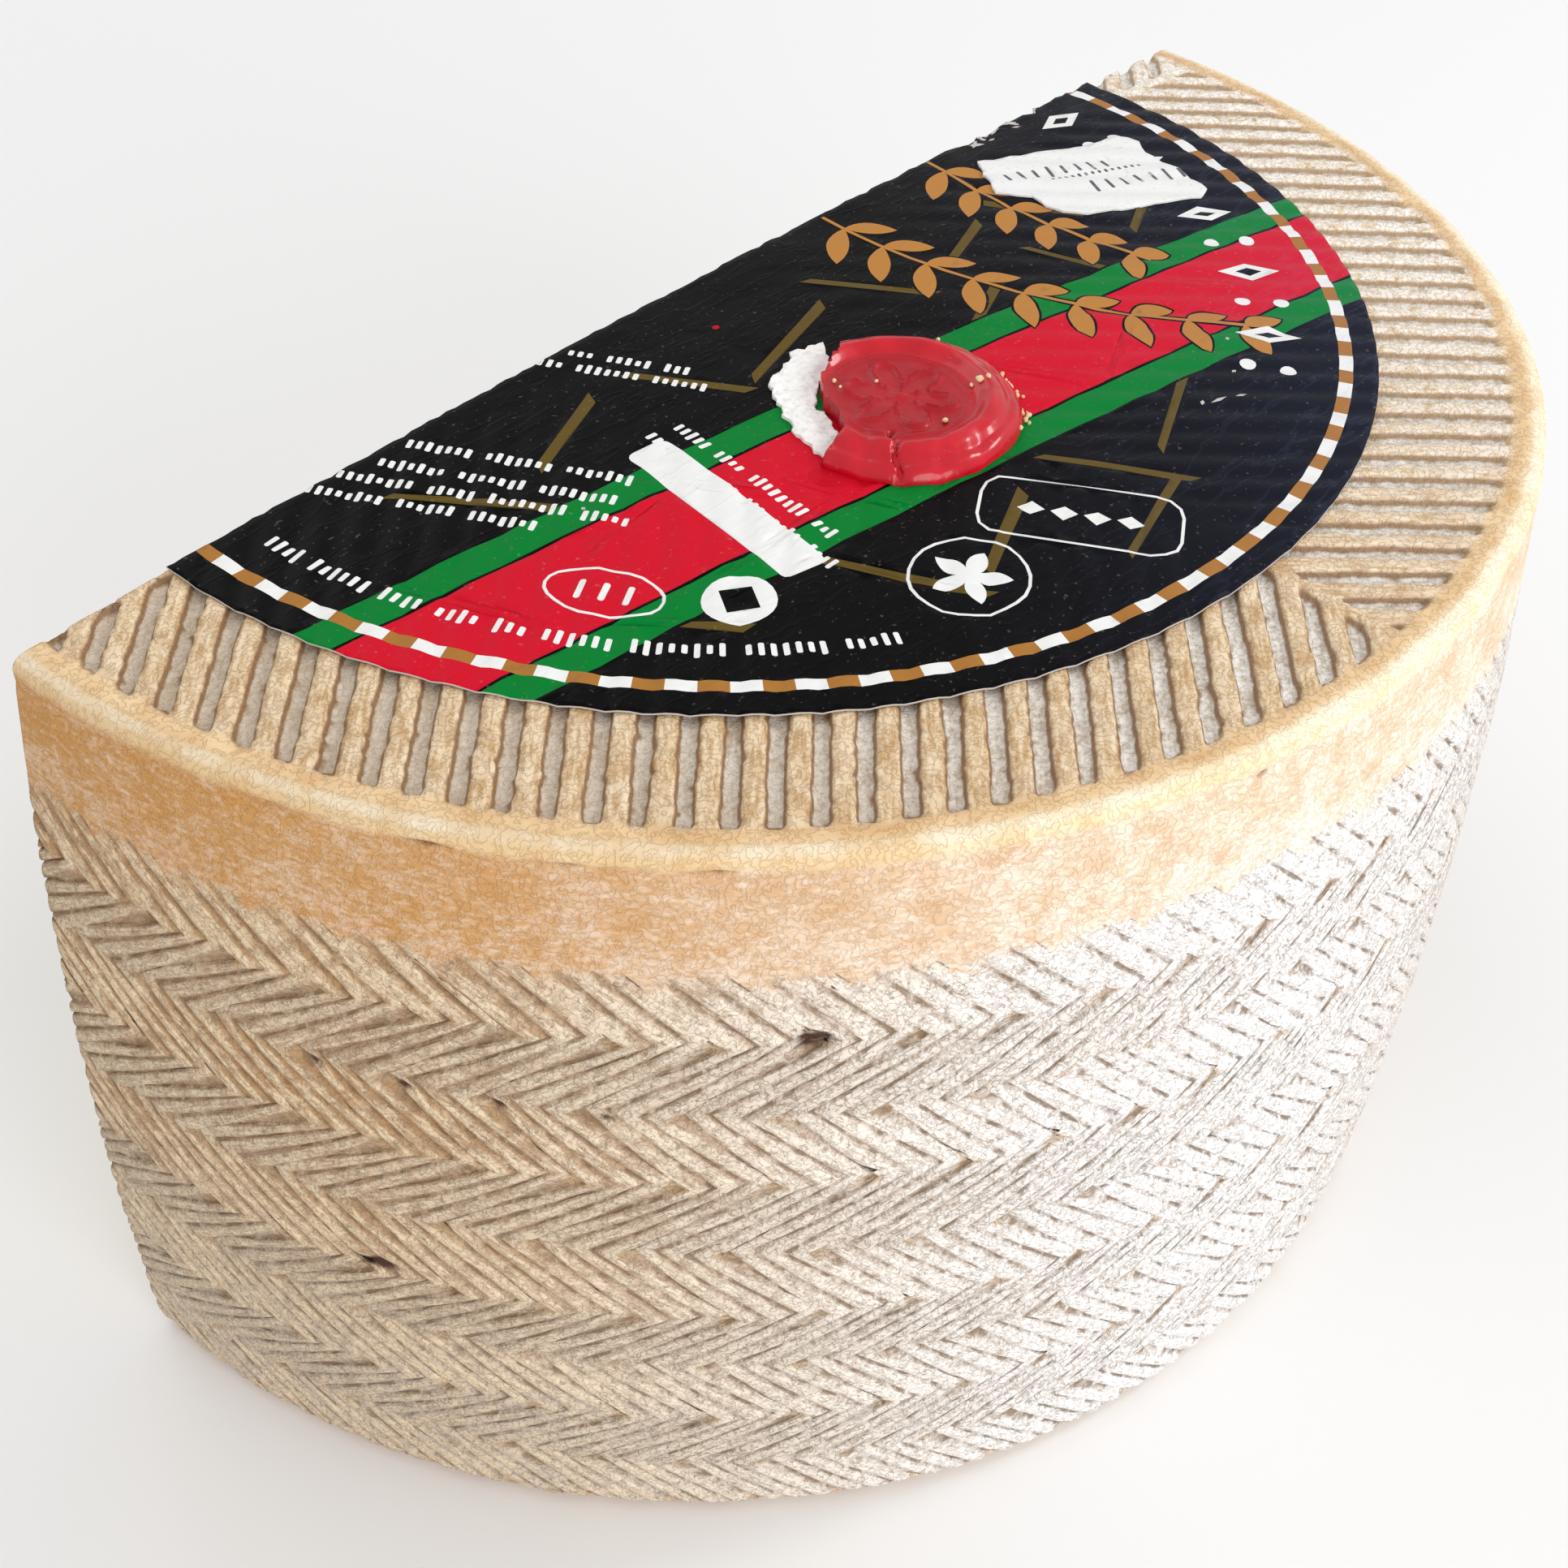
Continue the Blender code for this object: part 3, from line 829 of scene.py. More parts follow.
    def face_colour(self):
        """Tan lands between whitened grooves with brown walls, and a yellow ring inside the rim. The
        walls' brown is partly the rind's colour and partly painted shade in the grooves; the groove
        floors are painted darker on the left as painted shade, and the lands whiter on the right as
        painted light.
        """
        trough = self.attribute("trough")
        across = self.attribute("groove_across")
        along = self.noise_at((self.x * 280.0, self.y * 280.0, across * 1500.0), 1.0, 3.0, 0.6)
        land = self.tone(along.smooth(0.34, 0.66), (200, 162, 114), (238, 214, 178))
        pale = (self.patch * 0.7 + self.fine * 0.5 - 0.1).smooth(0.4, 0.75)
        land = self.over(land, pale * 0.5, 242, 226, 202)
        # Painted light: the lands turn whiter towards the lit right.
        white = self.lit_right * (self.grain + 0.1).smooth(0.38, 0.64)
        land = self.over(land, white * 0.85, 255, 250, 242)
        land = self.over(land, self.squiggle * (0.1 + self.grain * 0.4), 150, 110, 66)
        powder = (self.fine * 0.6 + along * 0.4).smooth(0.36, 0.6)
        floor = self.tone(powder, (204, 190, 170), (252, 248, 242))
        # Painted shade: the groove floors are darker towards the left.
        floor = self.over(floor, self.shaded_left * 0.75, 204, 182, 154)
        # The walls' brown is partly the rind's colour and partly painted shade in the grooves, darker on
        # the shaded left.
        wall = 1.0 - (trough + (self.grain - 0.5) * 0.5).smooth(0.65, 1.0)
        wall_colour = self.tone(self.lit_right, (136, 96, 54), (180, 150, 114))
        face = self.mix(trough.smooth(0.04, 0.4), land, self.mix(wall * 0.9, floor, wall_colour))
        ring = self.tone(self.patch.smooth(0.3, 0.7), (222, 180, 128), (240, 208, 162))
        ring = self.over(ring, self.squiggle * 0.3, 182, 138, 90)
        return self.mix(self.rim_ring, face, ring)


def rind_finish():
    """Aged rind: the colours of its parts, a painted highlight along the top of the lip, and stains."""
    rind = RindFinish()
    on_plait = (rind.plait + (rind.comb - 0.5) * 1.4).smooth(0.25, 0.75)
    side = rind.mix(on_plait, rind.band_colour(), rind.plait_colour())
    whole = rind.mix(rind.on_face, side, rind.face_colour())
    # Painted highlight: a pale line along the top of the lip, weaker on the shaded left.
    painted_crest_highlight = rind.z.smooth(107.7 * MM, 108.15 * MM) * rind.from_axis.smooth(98.3 * MM, 98.9 * MM)
    painted_crest_highlight = painted_crest_highlight * (rind.patch * 2.0 - 0.3 - rind.shaded_left * 0.3).most(0.0).least(1.0)
    whole = rind.over(whole, painted_crest_highlight * 0.6, 255, 246, 226)
    stain = rind.tone(rind.z.smooth(100.0 * MM, 104.0 * MM), (74, 46, 34), (136, 92, 52))
    stained = (rind.attribute("blemish") + (rind.grain - 0.5) * 0.6).smooth(0.2, 0.62)
    whole = rind.mix(stained, whole, stain)
    broad = rind.noise(22.0 * MM, 2.0)
    rind.colour(rind.over(whole, (broad - 0.5).most(0.0) * 0.4, 204, 174, 134))
    rind.roughness(0.8 - rind.lip * 0.28 - rind.rim_ring * rind.on_face * 0.2)
    rind.bump(rind.grain * 0.4 + rind.fine * 0.3 + rind.patch * 0.2 - rind.squiggle * 0.2
              + rind.plait * (rind.comb * 0.5 - rind.gap * 0.7), 0.4 * MM, 0.8)
    return rind.material


def paste_finish():
    """Pale pressed paste, a little darker towards the rind, with fine eyes."""
    finish = Finish("paste", Roughness=0.5, Subsurface_Weight=0.08, Subsurface_Scale=0.004)
    from_side = 1.0 - abs(finish.x) / TOP_RADIUS
    from_base = finish.z / HEIGHT
    near = from_side.least(from_base).least(1.0 - from_base)
    grain = finish.noise(1.6 * MM, 3.0)
    broad = finish.noise(22.0 * MM, 2.0)
    colour = finish.tone(broad, (240, 222, 180), (248, 234, 204))
    colour = finish.over(colour, 1.0 - near.smooth(0.0, 0.06), 202, 154, 94)
    finish.colour(finish.mix(grain.smooth(0.3, 0.32) * 0.25 + 0.75, srgb(214, 190, 130), colour))
    finish.bump(grain, 0.3 * MM, 0.5)
    return finish.material


def make_half_wheel():
    rind = rind_finish()
    paste = paste_finish()
    maker = link_object("half_wheel_maker", make_rind_mesh())
    relief = plain_mesh(maker, pressed_relief_tree(rind), Strand_Relief=STRAND_RELIEF,
                        Strip_Relief=STRIP_RELIEF, Groove_Depth=GROOVE_DEPTH,
                        Groove_Width=GROOVE_WIDTH, Groove_Floor=GROOVE_FLOOR, Crust=CRUST)
    bpy.data.objects.remove(maker)
    mesh = cut_in_half(relief)
    mesh.transform(Matrix.Translation((0.0, AXIS_Y, 0.0)))
    finish_piece(link_object("half_wheel", mesh, (rind, paste)), "rind", "cheese")


# Outlines of printed shapes, in millimetres
def placed(shape, place, bearing=0.0):
    """An outline turned to a bearing, in degrees, and moved to its place."""
    cos = math.cos(math.radians(bearing))
    sin = math.sin(math.radians(bearing))
    return [(place[0] + cos * u - sin * v, place[1] + sin * u + cos * v) for u, v in shape]


def bar(length, width, corner):
    """A bar with round corners, its middle at the origin."""
    points = []
    for quadrant, (across, up) in enumerate(((1, 1), (-1, 1), (-1, -1), (1, -1))):
        for step in range(4):
            angle = math.radians(90.0 * (quadrant + step / 3.0))
            points.append((across * (length * 0.5 - corner) + corner * math.cos(angle),
                           up * (width * 0.5 - corner) + corner * math.sin(angle)))
    return points


def oval(length, width, steps=24):
    turns = [2.0 * math.pi * step / steps for step in range(steps)]
    return [(length * 0.5 * math.cos(turn), width * 0.5 * math.sin(turn)) for turn in turns]


def lozenge(length, width):
    return [(length * 0.5, 0.0), (0.0, width * 0.5), (-length * 0.5, 0.0), (0.0, -width * 0.5)]


def leaf(length, width, bend):
    """A pointed leaf with its stalk at the origin, bent to one side."""
    shares = [step / 9.0 for step in range(1, 9)]

    def edge(side):
        return [(length * t, bend * t * t + side * math.sin(math.pi * t) ** 0.8) for t in shares]

    return [(0.0, 0.0)] + edge(width * -0.5) + [(length, bend)] + edge(width * 0.5)[::-1]


def ribbon(points, width):
    """Four-cornered outlines along a line."""
    lefts = []
    rights = []
    for index, (x, y) in enumerate(points):
        before = points[max(index - 1, 0)]
        after = points[min(index + 1, len(points) - 1)]
        along = np.array(after) - np.array(before)
        along = along / np.hypot(*along)
        half = width * 0.5
        lefts.append((x - along[1] * half, y + along[0] * half))
        rights.append((x + along[1] * half, y - along[0] * half))
    return [(rights[i], rights[i + 1], lefts[i + 1], lefts[i]) for i in range(len(points) - 1)]


def hoop(shape, width):
    """The outline of a shape as a line of its own width."""
    return ribbon(list(shape) + [shape[0]], width)


def arc_place(radius, bearing, centre=PRINT_CENTRE):
    angle = math.radians(bearing)
    return (centre[0] + radius * math.cos(angle), centre[1] + radius * math.sin(angle))


def stripe_edge(x):
    """The upper edge of the striped ribbon that crosses the label."""
    return -27.04 - 0.1423 * x - 0.000157 * x * x


def print_stripes(prints):
    xs = np.arange(-86.0, 90.0, 4.0)
    for ink, start, end in STRIPES:
        upper = [(x, stripe_edge(x) + start) for x in xs]
        lower = [(x, stripe_edge(x) + end) for x in xs]
        prints.append((ink, lower + upper[::-1]))


def print_straws(prints, chance):
    """Olive strokes laid loosely over the black, every other one across its neighbours."""
    for row, y in enumerate(np.arange(-70.0, -3.0, 14.0)):
        for column, x in enumerate(np.arange(-70.0, 72.0, 16.0)):
            jitter = (chance.uniform(-3.0, 3.0), chance.uniform(-3.0, 3.0))
            place = np.array((x + 8.0 * (row % 2), y)) + jitter
            turn = (-62.0 if (row + column) % 2 else 12.0) + chance.uniform(-14.0, 14.0)
            half = bearing_vector(turn) * chance.uniform(6.0, 9.5)
            ends = (place - half, place + half)
            past_edge = max(np.hypot(*spot) for spot in ends) > STRAW_REACH
            if past_edge or max(spot[1] for spot in ends) > -1.0:
                continue
            length = np.hypot(*half) * 2.0
            wide = chance.uniform(1.1, 1.6)
            shape = [(0.0, -wide * 0.4), (length, -wide * 0.5), (length + wide, wide * 0.5),
                     (wide, wide * 0.4)]
            prints.append(("olive", placed(shape, ends[0], turn)))


def print_rows(prints, chance):
    """Rows of short upright strokes, round the edge and across the black."""
    def stroke(place, bearing, tall):
        prints.append(("white", placed(bar(0.62, tall, 0.2), place, bearing)))

    bearing = 182.0
    while bearing < 238.0:
        for number in range(chance.randint(3, 9)):
            stroke(arc_place(STROKE_RING, bearing), bearing + 90.0, chance.uniform(1.3, 2.3))
            bearing += 1.02
        bearing += 1.1
    for start, turn, length in STROKE_ROWS:
        along = bearing_vector(turn)
        done = 0.0
        while done < length:
            for number in range(chance.randint(3, 8)):
                stroke(np.array(start) + along * done, turn, chance.uniform(1.0, 1.9))
                done += 1.12
            done += 1.3


def print_sprays(prints):
    """Two gold sprays of slanted leaves with black outlines."""
    for start, turn, curve, length, size, count in SPRAYS:
        stem = []
        for step in range(SPRAY_STEPS + 1):
            share = step / SPRAY_STEPS
            angle = math.radians(turn + curve * share)
            reach = length * share
            stem.append((start[0] + reach * math.cos(angle), start[1] + reach * math.sin(angle)))
        leaves = []
        for number in range(count):
            share = (number + 0.6) / count
            index = share * SPRAY_STEPS
            low = int(index)
            part = index - low
            place = np.array(stem[low]) * (1.0 - part) + np.array(stem[min(low + 1, SPRAY_STEPS)]) * part
            bearing = turn + curve * share
            for way in (-1.0, 1.0):
                tip = size * (1.0 - 0.3 * share) * (1.0 if way < 0.0 else 0.72)
                leaves.append((place, bearing + way * 58.0, tip, way))
        for extra, ink in ((0.7, "black"), (0.0, "gold")):
            for place, bearing, tip, way in leaves:
                stalk = place - bearing_vector(bearing) * extra * 0.5
                prints.append((ink, placed(leaf(tip + extra, 2.9 + extra, -way * 1.3), stalk, bearing)))
            for piece in ribbon(stem, 0.55 + extra):
                prints.append((ink, piece))


def print_marks(prints):
    """A blank white field, plain frames, and white lozenges and beads along the edge."""
    def white(shape, place, turn=0.0):
        prints.append(("white", placed(shape, place, turn)))

    white(bar(27.6, 5.6, 1.1), BLANK_FIELD, -98.5)
    frames = [(bar(22.0, 10.6, 3.2), *LONG_FRAME), (oval(13.4, 12.4), ROUND_FRAME, 0.0),
              (oval(12.6, 7.4), *SMALL_FRAME)]
    for shape, place, turn in frames:
        for piece in hoop(placed(shape, place, turn), 0.36):
            prints.append(("white", piece))
    for petal in range(5):
        white(leaf(4.6, 2.2, 0.0), ROUND_FRAME, 90.0 + 72.0 * petal)
    middle, turn = LONG_FRAME
    for shift in (-5.4, -1.8, 1.8, 5.4):
        white(lozenge(3.0, 2.4), np.array(middle) + bearing_vector(turn) * shift, turn)
    middle, turn = SMALL_FRAME
    for shift in (-2.6, 0.0, 2.6):
        white(bar(3.0, 0.7, 0.3), np.array(middle) + bearing_vector(turn) * shift, turn + 90.0)
    white(oval(8.2, 7.6), DISC)
    prints.append(("black", placed(lozenge(5.0, 5.0), DISC, 12.0)))
    for step in range(10):
        bearing = -2.5 - 6.5 * step
        if step % 2 == 0:
            middle = arc_place(LOZENGE_RING, bearing)
            white(lozenge(8.0, 4.0), middle, bearing)
            prints.append(("black", placed(lozenge(3.4, 1.7), middle, bearing)))
        else:
            for side in (-2.4, 2.4):
                white(oval(2.0, 2.0, 12), arc_place(LOZENGE_RING + side, bearing))


def print_dashes(prints):
    """The border of white and gold dashes."""
    for number in range(DASHES):
        bearings = [178.0 + DASH_STEP * (number + share / 3.0) for share in range(4)]
        inner, outer = ([arc_place(radius, bearing) for bearing in bearings] for radius in DASH_RING)
        prints.append(("white" if number % 2 else "dash_gold", outer + inner[::-1]))


def print_scars(prints, chance):
    """Scuffs, torn specks along the cut and drops of wax."""
    for x, y, length, turn in SCUFFS:
        prints.append(("paper", placed(lozenge(length, 0.55), (x, y), turn)))
    for step in range(SPECKS):
        x = 50.0 + 17.0 * chance.random()
        y = 1.2 - 2.2 * chance.random() ** 2
        shape = lozenge(chance.uniform(0.7, 2.4), chance.uniform(0.4, 1.0))
        prints.append(("paper", placed(shape, (x, y), chance.uniform(-30.0, 30.0))))
    prints.append(("wax", placed(oval(1.0, 0.8, 8), (-8.4, -8.2))))
    prints.append(("wax", placed(oval(9.0, 4.6), (-20.6, -39.0), -40.0)))


# Thin sheets and the seal, made over a flat outline
def anticlockwise(shape):
    area = sum(a[0] * b[1] - b[0] * a[1] for a, b in zip(shape, list(shape[1:]) + [shape[0]]))
    return list(shape) if area > 0.0 else list(reversed(shape))


def closed_sheet(name, outline, step, prints, top, bottom, ground, edge, material):
    """A closed body over an outline, with its prints' edges in its mesh and their inks on its faces."""
    shapes = [anticlockwise(shape) for shape in [outline] + [shape for ink, shape in prints]]
    inks = [ground] + [ink for ink, shape in prints]
    points = []
    loops = []
    for shape in shapes:
        loops.append(list(range(len(points), len(points) + len(shape))))
        points += [Vector(point) for point in shape]
    xs = [point[0] for point in outline]
    ys = [point[1] for point in outline]
    for number, y in enumerate(np.arange(min(ys) + step * 0.3, max(ys), step)):
        shift = step * 0.5 * (number % 2)
        points += [Vector((x + shift, y)) for x in np.arange(min(xs), max(xs), step)]
    found, _, triangles, _, _, origins = delaunay_2d_cdt(points, [], loops, 1, 1e-3)
    kept = [(triangle, max(origin)) for triangle, origin in zip(triangles, origins) if 0 in origin]
    used = sorted({number for triangle, ink in kept for number in triangle})
    renumbered = {number: index for index, number in enumerate(used)}
    x = np.array([found[number].x for number in used])
    y = np.array([found[number].y for number in used])
    count = len(used)
    upper = np.stack([x, y, top(x, y)], axis=1)
    lower = np.stack([x, y, bottom(x, y)], axis=1)
    faces = []
    colours = []
    sides = {}
    for triangle, ink in kept:
        a, b, c = (renumbered[number] for number in triangle)
        if (x[b] - x[a]) * (y[c] - y[a]) - (y[b] - y[a]) * (x[c] - x[a]) < 0.0:
            b, c = c, b
        faces.append((a, b, c))
        colours.append(INKS[inks[ink]])
        for side in ((a, b), (b, c), (c, a)):
            sides[side] = True
    bottoms = [(a + count, c + count, b + count) for a, b, c in faces]
    walls = [(a, a + count, b + count, b) for a, b in sides if (b, a) not in sides]
    colours += [INKS[edge]] * (len(bottoms) + len(walls))
    mesh = bpy.data.meshes.new(name)
    places = np.concatenate([upper, lower]) * MM + np.array((0.0, AXIS_Y, 0.0))
    mesh.from_pydata([tuple(map(float, place)) for place in places], [], faces + bottoms + walls)
    layer = mesh.attributes.new("ink", "FLOAT_COLOR", "FACE")
    layer.data.foreach_set("color", np.array(colours, dtype=np.float32).ravel())
    smooth = [True] * len(faces) + [False] * (len(bottoms) + len(walls))
    mesh.polygons.foreach_set("use_smooth", smooth)
    mesh.update()
    return link_object(name, mesh, (material,))


def waves(x, y, size, seed=0.0):
    """Smooth noise about 0, between -1 and 1, with waves about as long as size in millimetres."""
    places = zip(x.tolist(), y.tolist())
    return np.array([noise.noise(Vector((u / size + seed, v / size, seed))) for u, v in places])


def label_top(x, y):
    """Height of the label: the crown, sagging a little into the grooves under it."""
    across, inside = groove_place(x * MM, y * MM)
    sag = 0.26 * np.exp(-(across / (0.9 * MM)) ** 2) * np.clip(inside / (3.0 * MM), 0.0, 1.0)
    wide = np.hypot(x, y)
    sag = sag * np.clip((wide - 20.0) / 30.0, 0.25, 1.0)
    return (crown_height(wide * MM) / MM + LABEL_LIFT - sag
            + 0.13 * waves(x, y, 13.0) + 0.07 * waves(x, y, 4.0, 7.0))


def above_label(lift):
    """A height at each place, lifted off the label's own."""
    return lambda x, y: label_top(x, y) + lift


def ragged_line(first, second, count, depth, chance):
    """Points along a line, each moved a little by chance."""
    points = []
    for number in range(count):
        share = number / count
        points.append(tuple(start + (end - start) * share + chance.uniform(-depth, depth)
                            for start, end in zip(first, second)))
    return points


def cut_circle(centre, radius, count, chance):
    """A circle's part that is left of the cut, with a slightly torn straight edge."""
    cut = CUT_PAST_AXIS / MM
    spread = math.asin((cut - centre[1]) / radius)
    arc = np.linspace(math.pi - spread, 2.0 * math.pi + spread, count)
    outline = [(centre[0] + radius * math.cos(a), centre[1] + radius * math.sin(a)) for a in arc]
    xs = np.arange(outline[-1][0] - 1.3, outline[0][0], -1.3)
    for x in xs:
        torn = 1.4 if 50.0 < x < 68.0 else 0.35
        outline.append((x, cut - 0.02 - torn * chance.random() ** 2))
    return outline


def paper_print_finish():
    """Printed label paper with a satin varnish, fine wrinkles, a little dust and a painted bluish
    reflection towards the right, stronger along the creases.
    """
    finish = Finish("label_paper", Specular_IOR_Level=0.05)
    grain = finish.noise(1.2 * MM, 3.0)
    wrinkle = finish.noise(7.0 * MM, 3.0, 0.55, stretch=(0.45, 1.6, 1.0), turn=math.radians(42.0))
    crease = 1.0 - abs(wrinkle - 0.5).smooth(0.0, 0.03)
    dust = finish.noise(0.6 * MM, 2.0).smooth(0.66, 0.74)
    # Painted reflection: a bluish tint over the ink, growing towards the right and along the creases.
    sheen = (finish.x * 0.7 - finish.y * 0.7).smooth(-20.0 * MM, 90.0 * MM)
    painted_sheen = sheen * 0.07 + crease * sheen * 0.07
    ink = finish.over(finish.attribute_colour("ink"), painted_sheen, 130, 145, 200)
    finish.colour(finish.over(ink, dust * 0.12, 190, 180, 168))
    finish.roughness(0.3 + grain * 0.14)
    finish.bump(wrinkle * 0.8 + grain * 0.12 + crease * 0.1, 0.5 * MM, 0.55)
    return finish.material


def make_label():
    chance = random.Random(11)
    prints = []
    print_straws(prints, chance)
    print_stripes(prints)
    print_rows(prints, chance)
    print_sprays(prints)
    print_marks(prints)
    print_dashes(prints)
    print_scars(prints, chance)
    outline = cut_circle(LABEL_CENTRE, LABEL_RADIUS, 220, chance)
    item = closed_sheet("paper_label", outline, 1.0, prints, label_top,
                        above_label(-LABEL_THICKNESS), "black", "paper", paper_print_finish())
    finish_piece(item, "label_print", "label")


def torn_outline(shape, step, depth, chance):
    """A closed outline with a ragged edge."""
    edge = []
    for first, second in zip(shape, list(shape[1:]) + [shape[0]]):
        edge += ragged_line(first, second, max(1, int(math.dist(first, second) / step)), depth, chance)
    return edge


def torn_paper_finish():
    finish = Finish("torn_paper", Roughness=0.9, Specular_IOR_Level=0.2)
    fibre = finish.noise(0.8 * MM, 4.0, 0.7)
    soft = finish.noise(3.0 * MM, 2.0)
    colour = finish.tone(fibre.smooth(0.3, 0.55), (232, 228, 222), (253, 252, 250))
    finish.colour(finish.over(colour, soft.smooth(0.62, 0.78) * 0.3, 226, 206, 172))
    finish.bump(fibre, 0.3 * MM, 0.6)
    return finish.material


def sticker_finish():
    finish = Finish("sticker_paper", Roughness=0.55, Specular_IOR_Level=0.35)
    wear = finish.noise(2.2 * MM, 3.0)
    fibre = finish.noise(0.7 * MM, 3.0)
    ink = finish.over(finish.attribute_colour("ink"), wear.smooth(0.52, 0.7) * 0.6, 236, 236, 238)
    finish.colour(finish.over(ink, (0.4 - fibre).smooth(0.0, 0.1) * 0.25, 176, 176, 182))
    finish.bump(fibre * 0.4 + wear, 0.25 * MM, 0.6)
    return finish.material


def make_torn_paper():
    chance = random.Random(5)
    outline = torn_outline(TORN_OUTER_EDGE + TORN_INNER_EDGE[1:-1], 0.7, 0.32, chance)

    def top(x, y):
        return label_top(x, y) + 0.45 + 0.22 * waves(x, y, 1.3) + 0.18 * waves(x, y, 0.6, 3.0)

    item = closed_sheet("torn_paper_scrap", outline, 0.35, [], top, above_label(SHEET_GAP),
                        "white", "white", torn_paper_finish())
    finish_piece(item, "white_paper", "torn_paper")


def make_sticker():
    """The torn white sticker, with rows of plain grey strokes."""
    chance = random.Random(8)
    prints = []
    along = bearing_vector(STICKER_BEARING)
    for start, count, pitch, tall, wide in STICKER_ROWS:
        for number in range(count):
            place = np.array(start) + along * pitch * number
            shape = bar(wide, tall * chance.uniform(0.7, 1.0), 0.15)
            prints.append(("grey", placed(shape, place, STICKER_BEARING)))
    outline = torn_outline(STICKER_OUTLINE, 1.2, 0.22, chance)

    def top(x, y):
        return label_top(x, y) + 0.3 + 0.12 * waves(x, y, 6.0, 2.0)

    item = closed_sheet("torn_sticker", outline, 0.8, prints, top, above_label(SHEET_GAP),
                        "white", "white", sticker_finish())
    finish_piece(item, "white_paper", "date_sticker")


def seal_edge(turn):
    """The uneven radius of the seal at a turn about its middle."""
    return SEAL_RADIUS - 0.25 + 0.25 * np.sin(turn * 2.0 + 1.0) + 0.15 * np.sin(turn * 5.0)


def wax_height(u, v):
    """Height of the seal above the label, at a place about the seal's middle."""
    turn = np.arctan2(v, u)
    reach = np.hypot(u, v)
    share = np.clip(reach / seal_edge(turn), 0.0, 1.0)
    rim_in = np.clip((share - 0.60) / 0.14, 0.0, 1.0)
    rim_in = rim_in * rim_in * (3.0 - 2.0 * rim_in)
    rim_out = np.sqrt(np.clip((1.0 - share) / 0.26, 0.0, 1.0))
    rim = 1.75 * np.minimum(1.0, rim_out) + 1.2 * rim_in * rim_out
    rim -= 0.35 * np.exp(-((share - 0.88) / 0.03) ** 2)
    step = 0.3 * np.exp(-((reach - 7.9) / 0.35) ** 2)
    petals = 6.4 * np.abs(np.cos(turn * 3.0)) ** 0.55
    rosette = 0.6 * np.exp(-((reach - petals) / 0.4) ** 2) * (reach > 0.8)
    bead = 0.45 * np.exp(-(reach / 0.9) ** 2)
    line_u = u - CRACK_MIDDLE[0]
    line_v = v - CRACK_MIDDLE[1]
    along = line_u * -0.68 + line_v * -0.73
    across = line_u * 0.73 - line_v * 0.68 + 0.25 * np.sin(along * 1.7)
    crack = 1.1 * np.exp(-(across / 0.26) ** 2) * (np.abs(along) < 3.9)
    return rim + step + rosette + bead - crack


def wax_finish():
    """Glossy red wax, darker where it is sunk, with faint scratches."""
    finish = Finish("sealing_wax", Coat_Roughness=0.1, Specular_IOR_Level=0.25)
    cloud = finish.noise(5.0 * MM, 3.0)
    scratch = finish.noise(0.9 * MM, 3.0, 0.6, stretch=(1.0, 0.4, 1.0), turn=math.radians(30.0))
    away_x = finish.x - SEAL_CENTRE[0] * MM
    away_y = finish.y - AXIS_Y - SEAL_CENTRE[1] * MM
    reach = (away_x * away_x + away_y * away_y) ** 0.5
    sunk = 1.0 - reach.smooth(7.6 * MM, 9.2 * MM)
    colour = finish.tone(cloud.smooth(0.3, 0.7), (184, 2, 24), (204, 14, 38))
    colour = finish.over(colour, sunk * 0.6, 158, 8, 24)
    finish.colour(finish.over(colour, scratch.smooth(0.66, 0.75) * 0.25, 240, 120, 120))
    finish.roughness(0.24 + sunk * 0.14 + cloud * 0.1)
    finish.feed(finish.shader.inputs["Coat Weight"], 0.4 - sunk * 0.2)
    finish.bump(scratch * 0.4 + cloud, 0.25 * MM, 0.35)
    return finish.material


def make_seal():
    chance = random.Random(3)
    outline = []
    for bearing in np.arange(-177.0, 70.0, 3.0):
        outline.append(arc_place(seal_edge(math.radians(bearing)), bearing, SEAL_CENTRE))
    torn = [(x + 0.4, y - 0.4) for x, y in TORN_INNER_EDGE[1:-1]]
    for first, second in zip(torn, torn[1:]):
        outline += ragged_line(first, second, 4, 0.18, chance)
    outline.append(torn[-1])

    def top(x, y):
        height = wax_height(x - SEAL_CENTRE[0], y - SEAL_CENTRE[1])
        return label_top(x, y) + SEAL_FOOT + height + 0.12 * waves(x, y, 2.2, 5.0)

    item = closed_sheet("seal", outline, 0.36, [], top, above_label(SHEET_GAP),
                        "wax", "wax", wax_finish())
    finish_piece(item, "red_wax", "wax_seal")


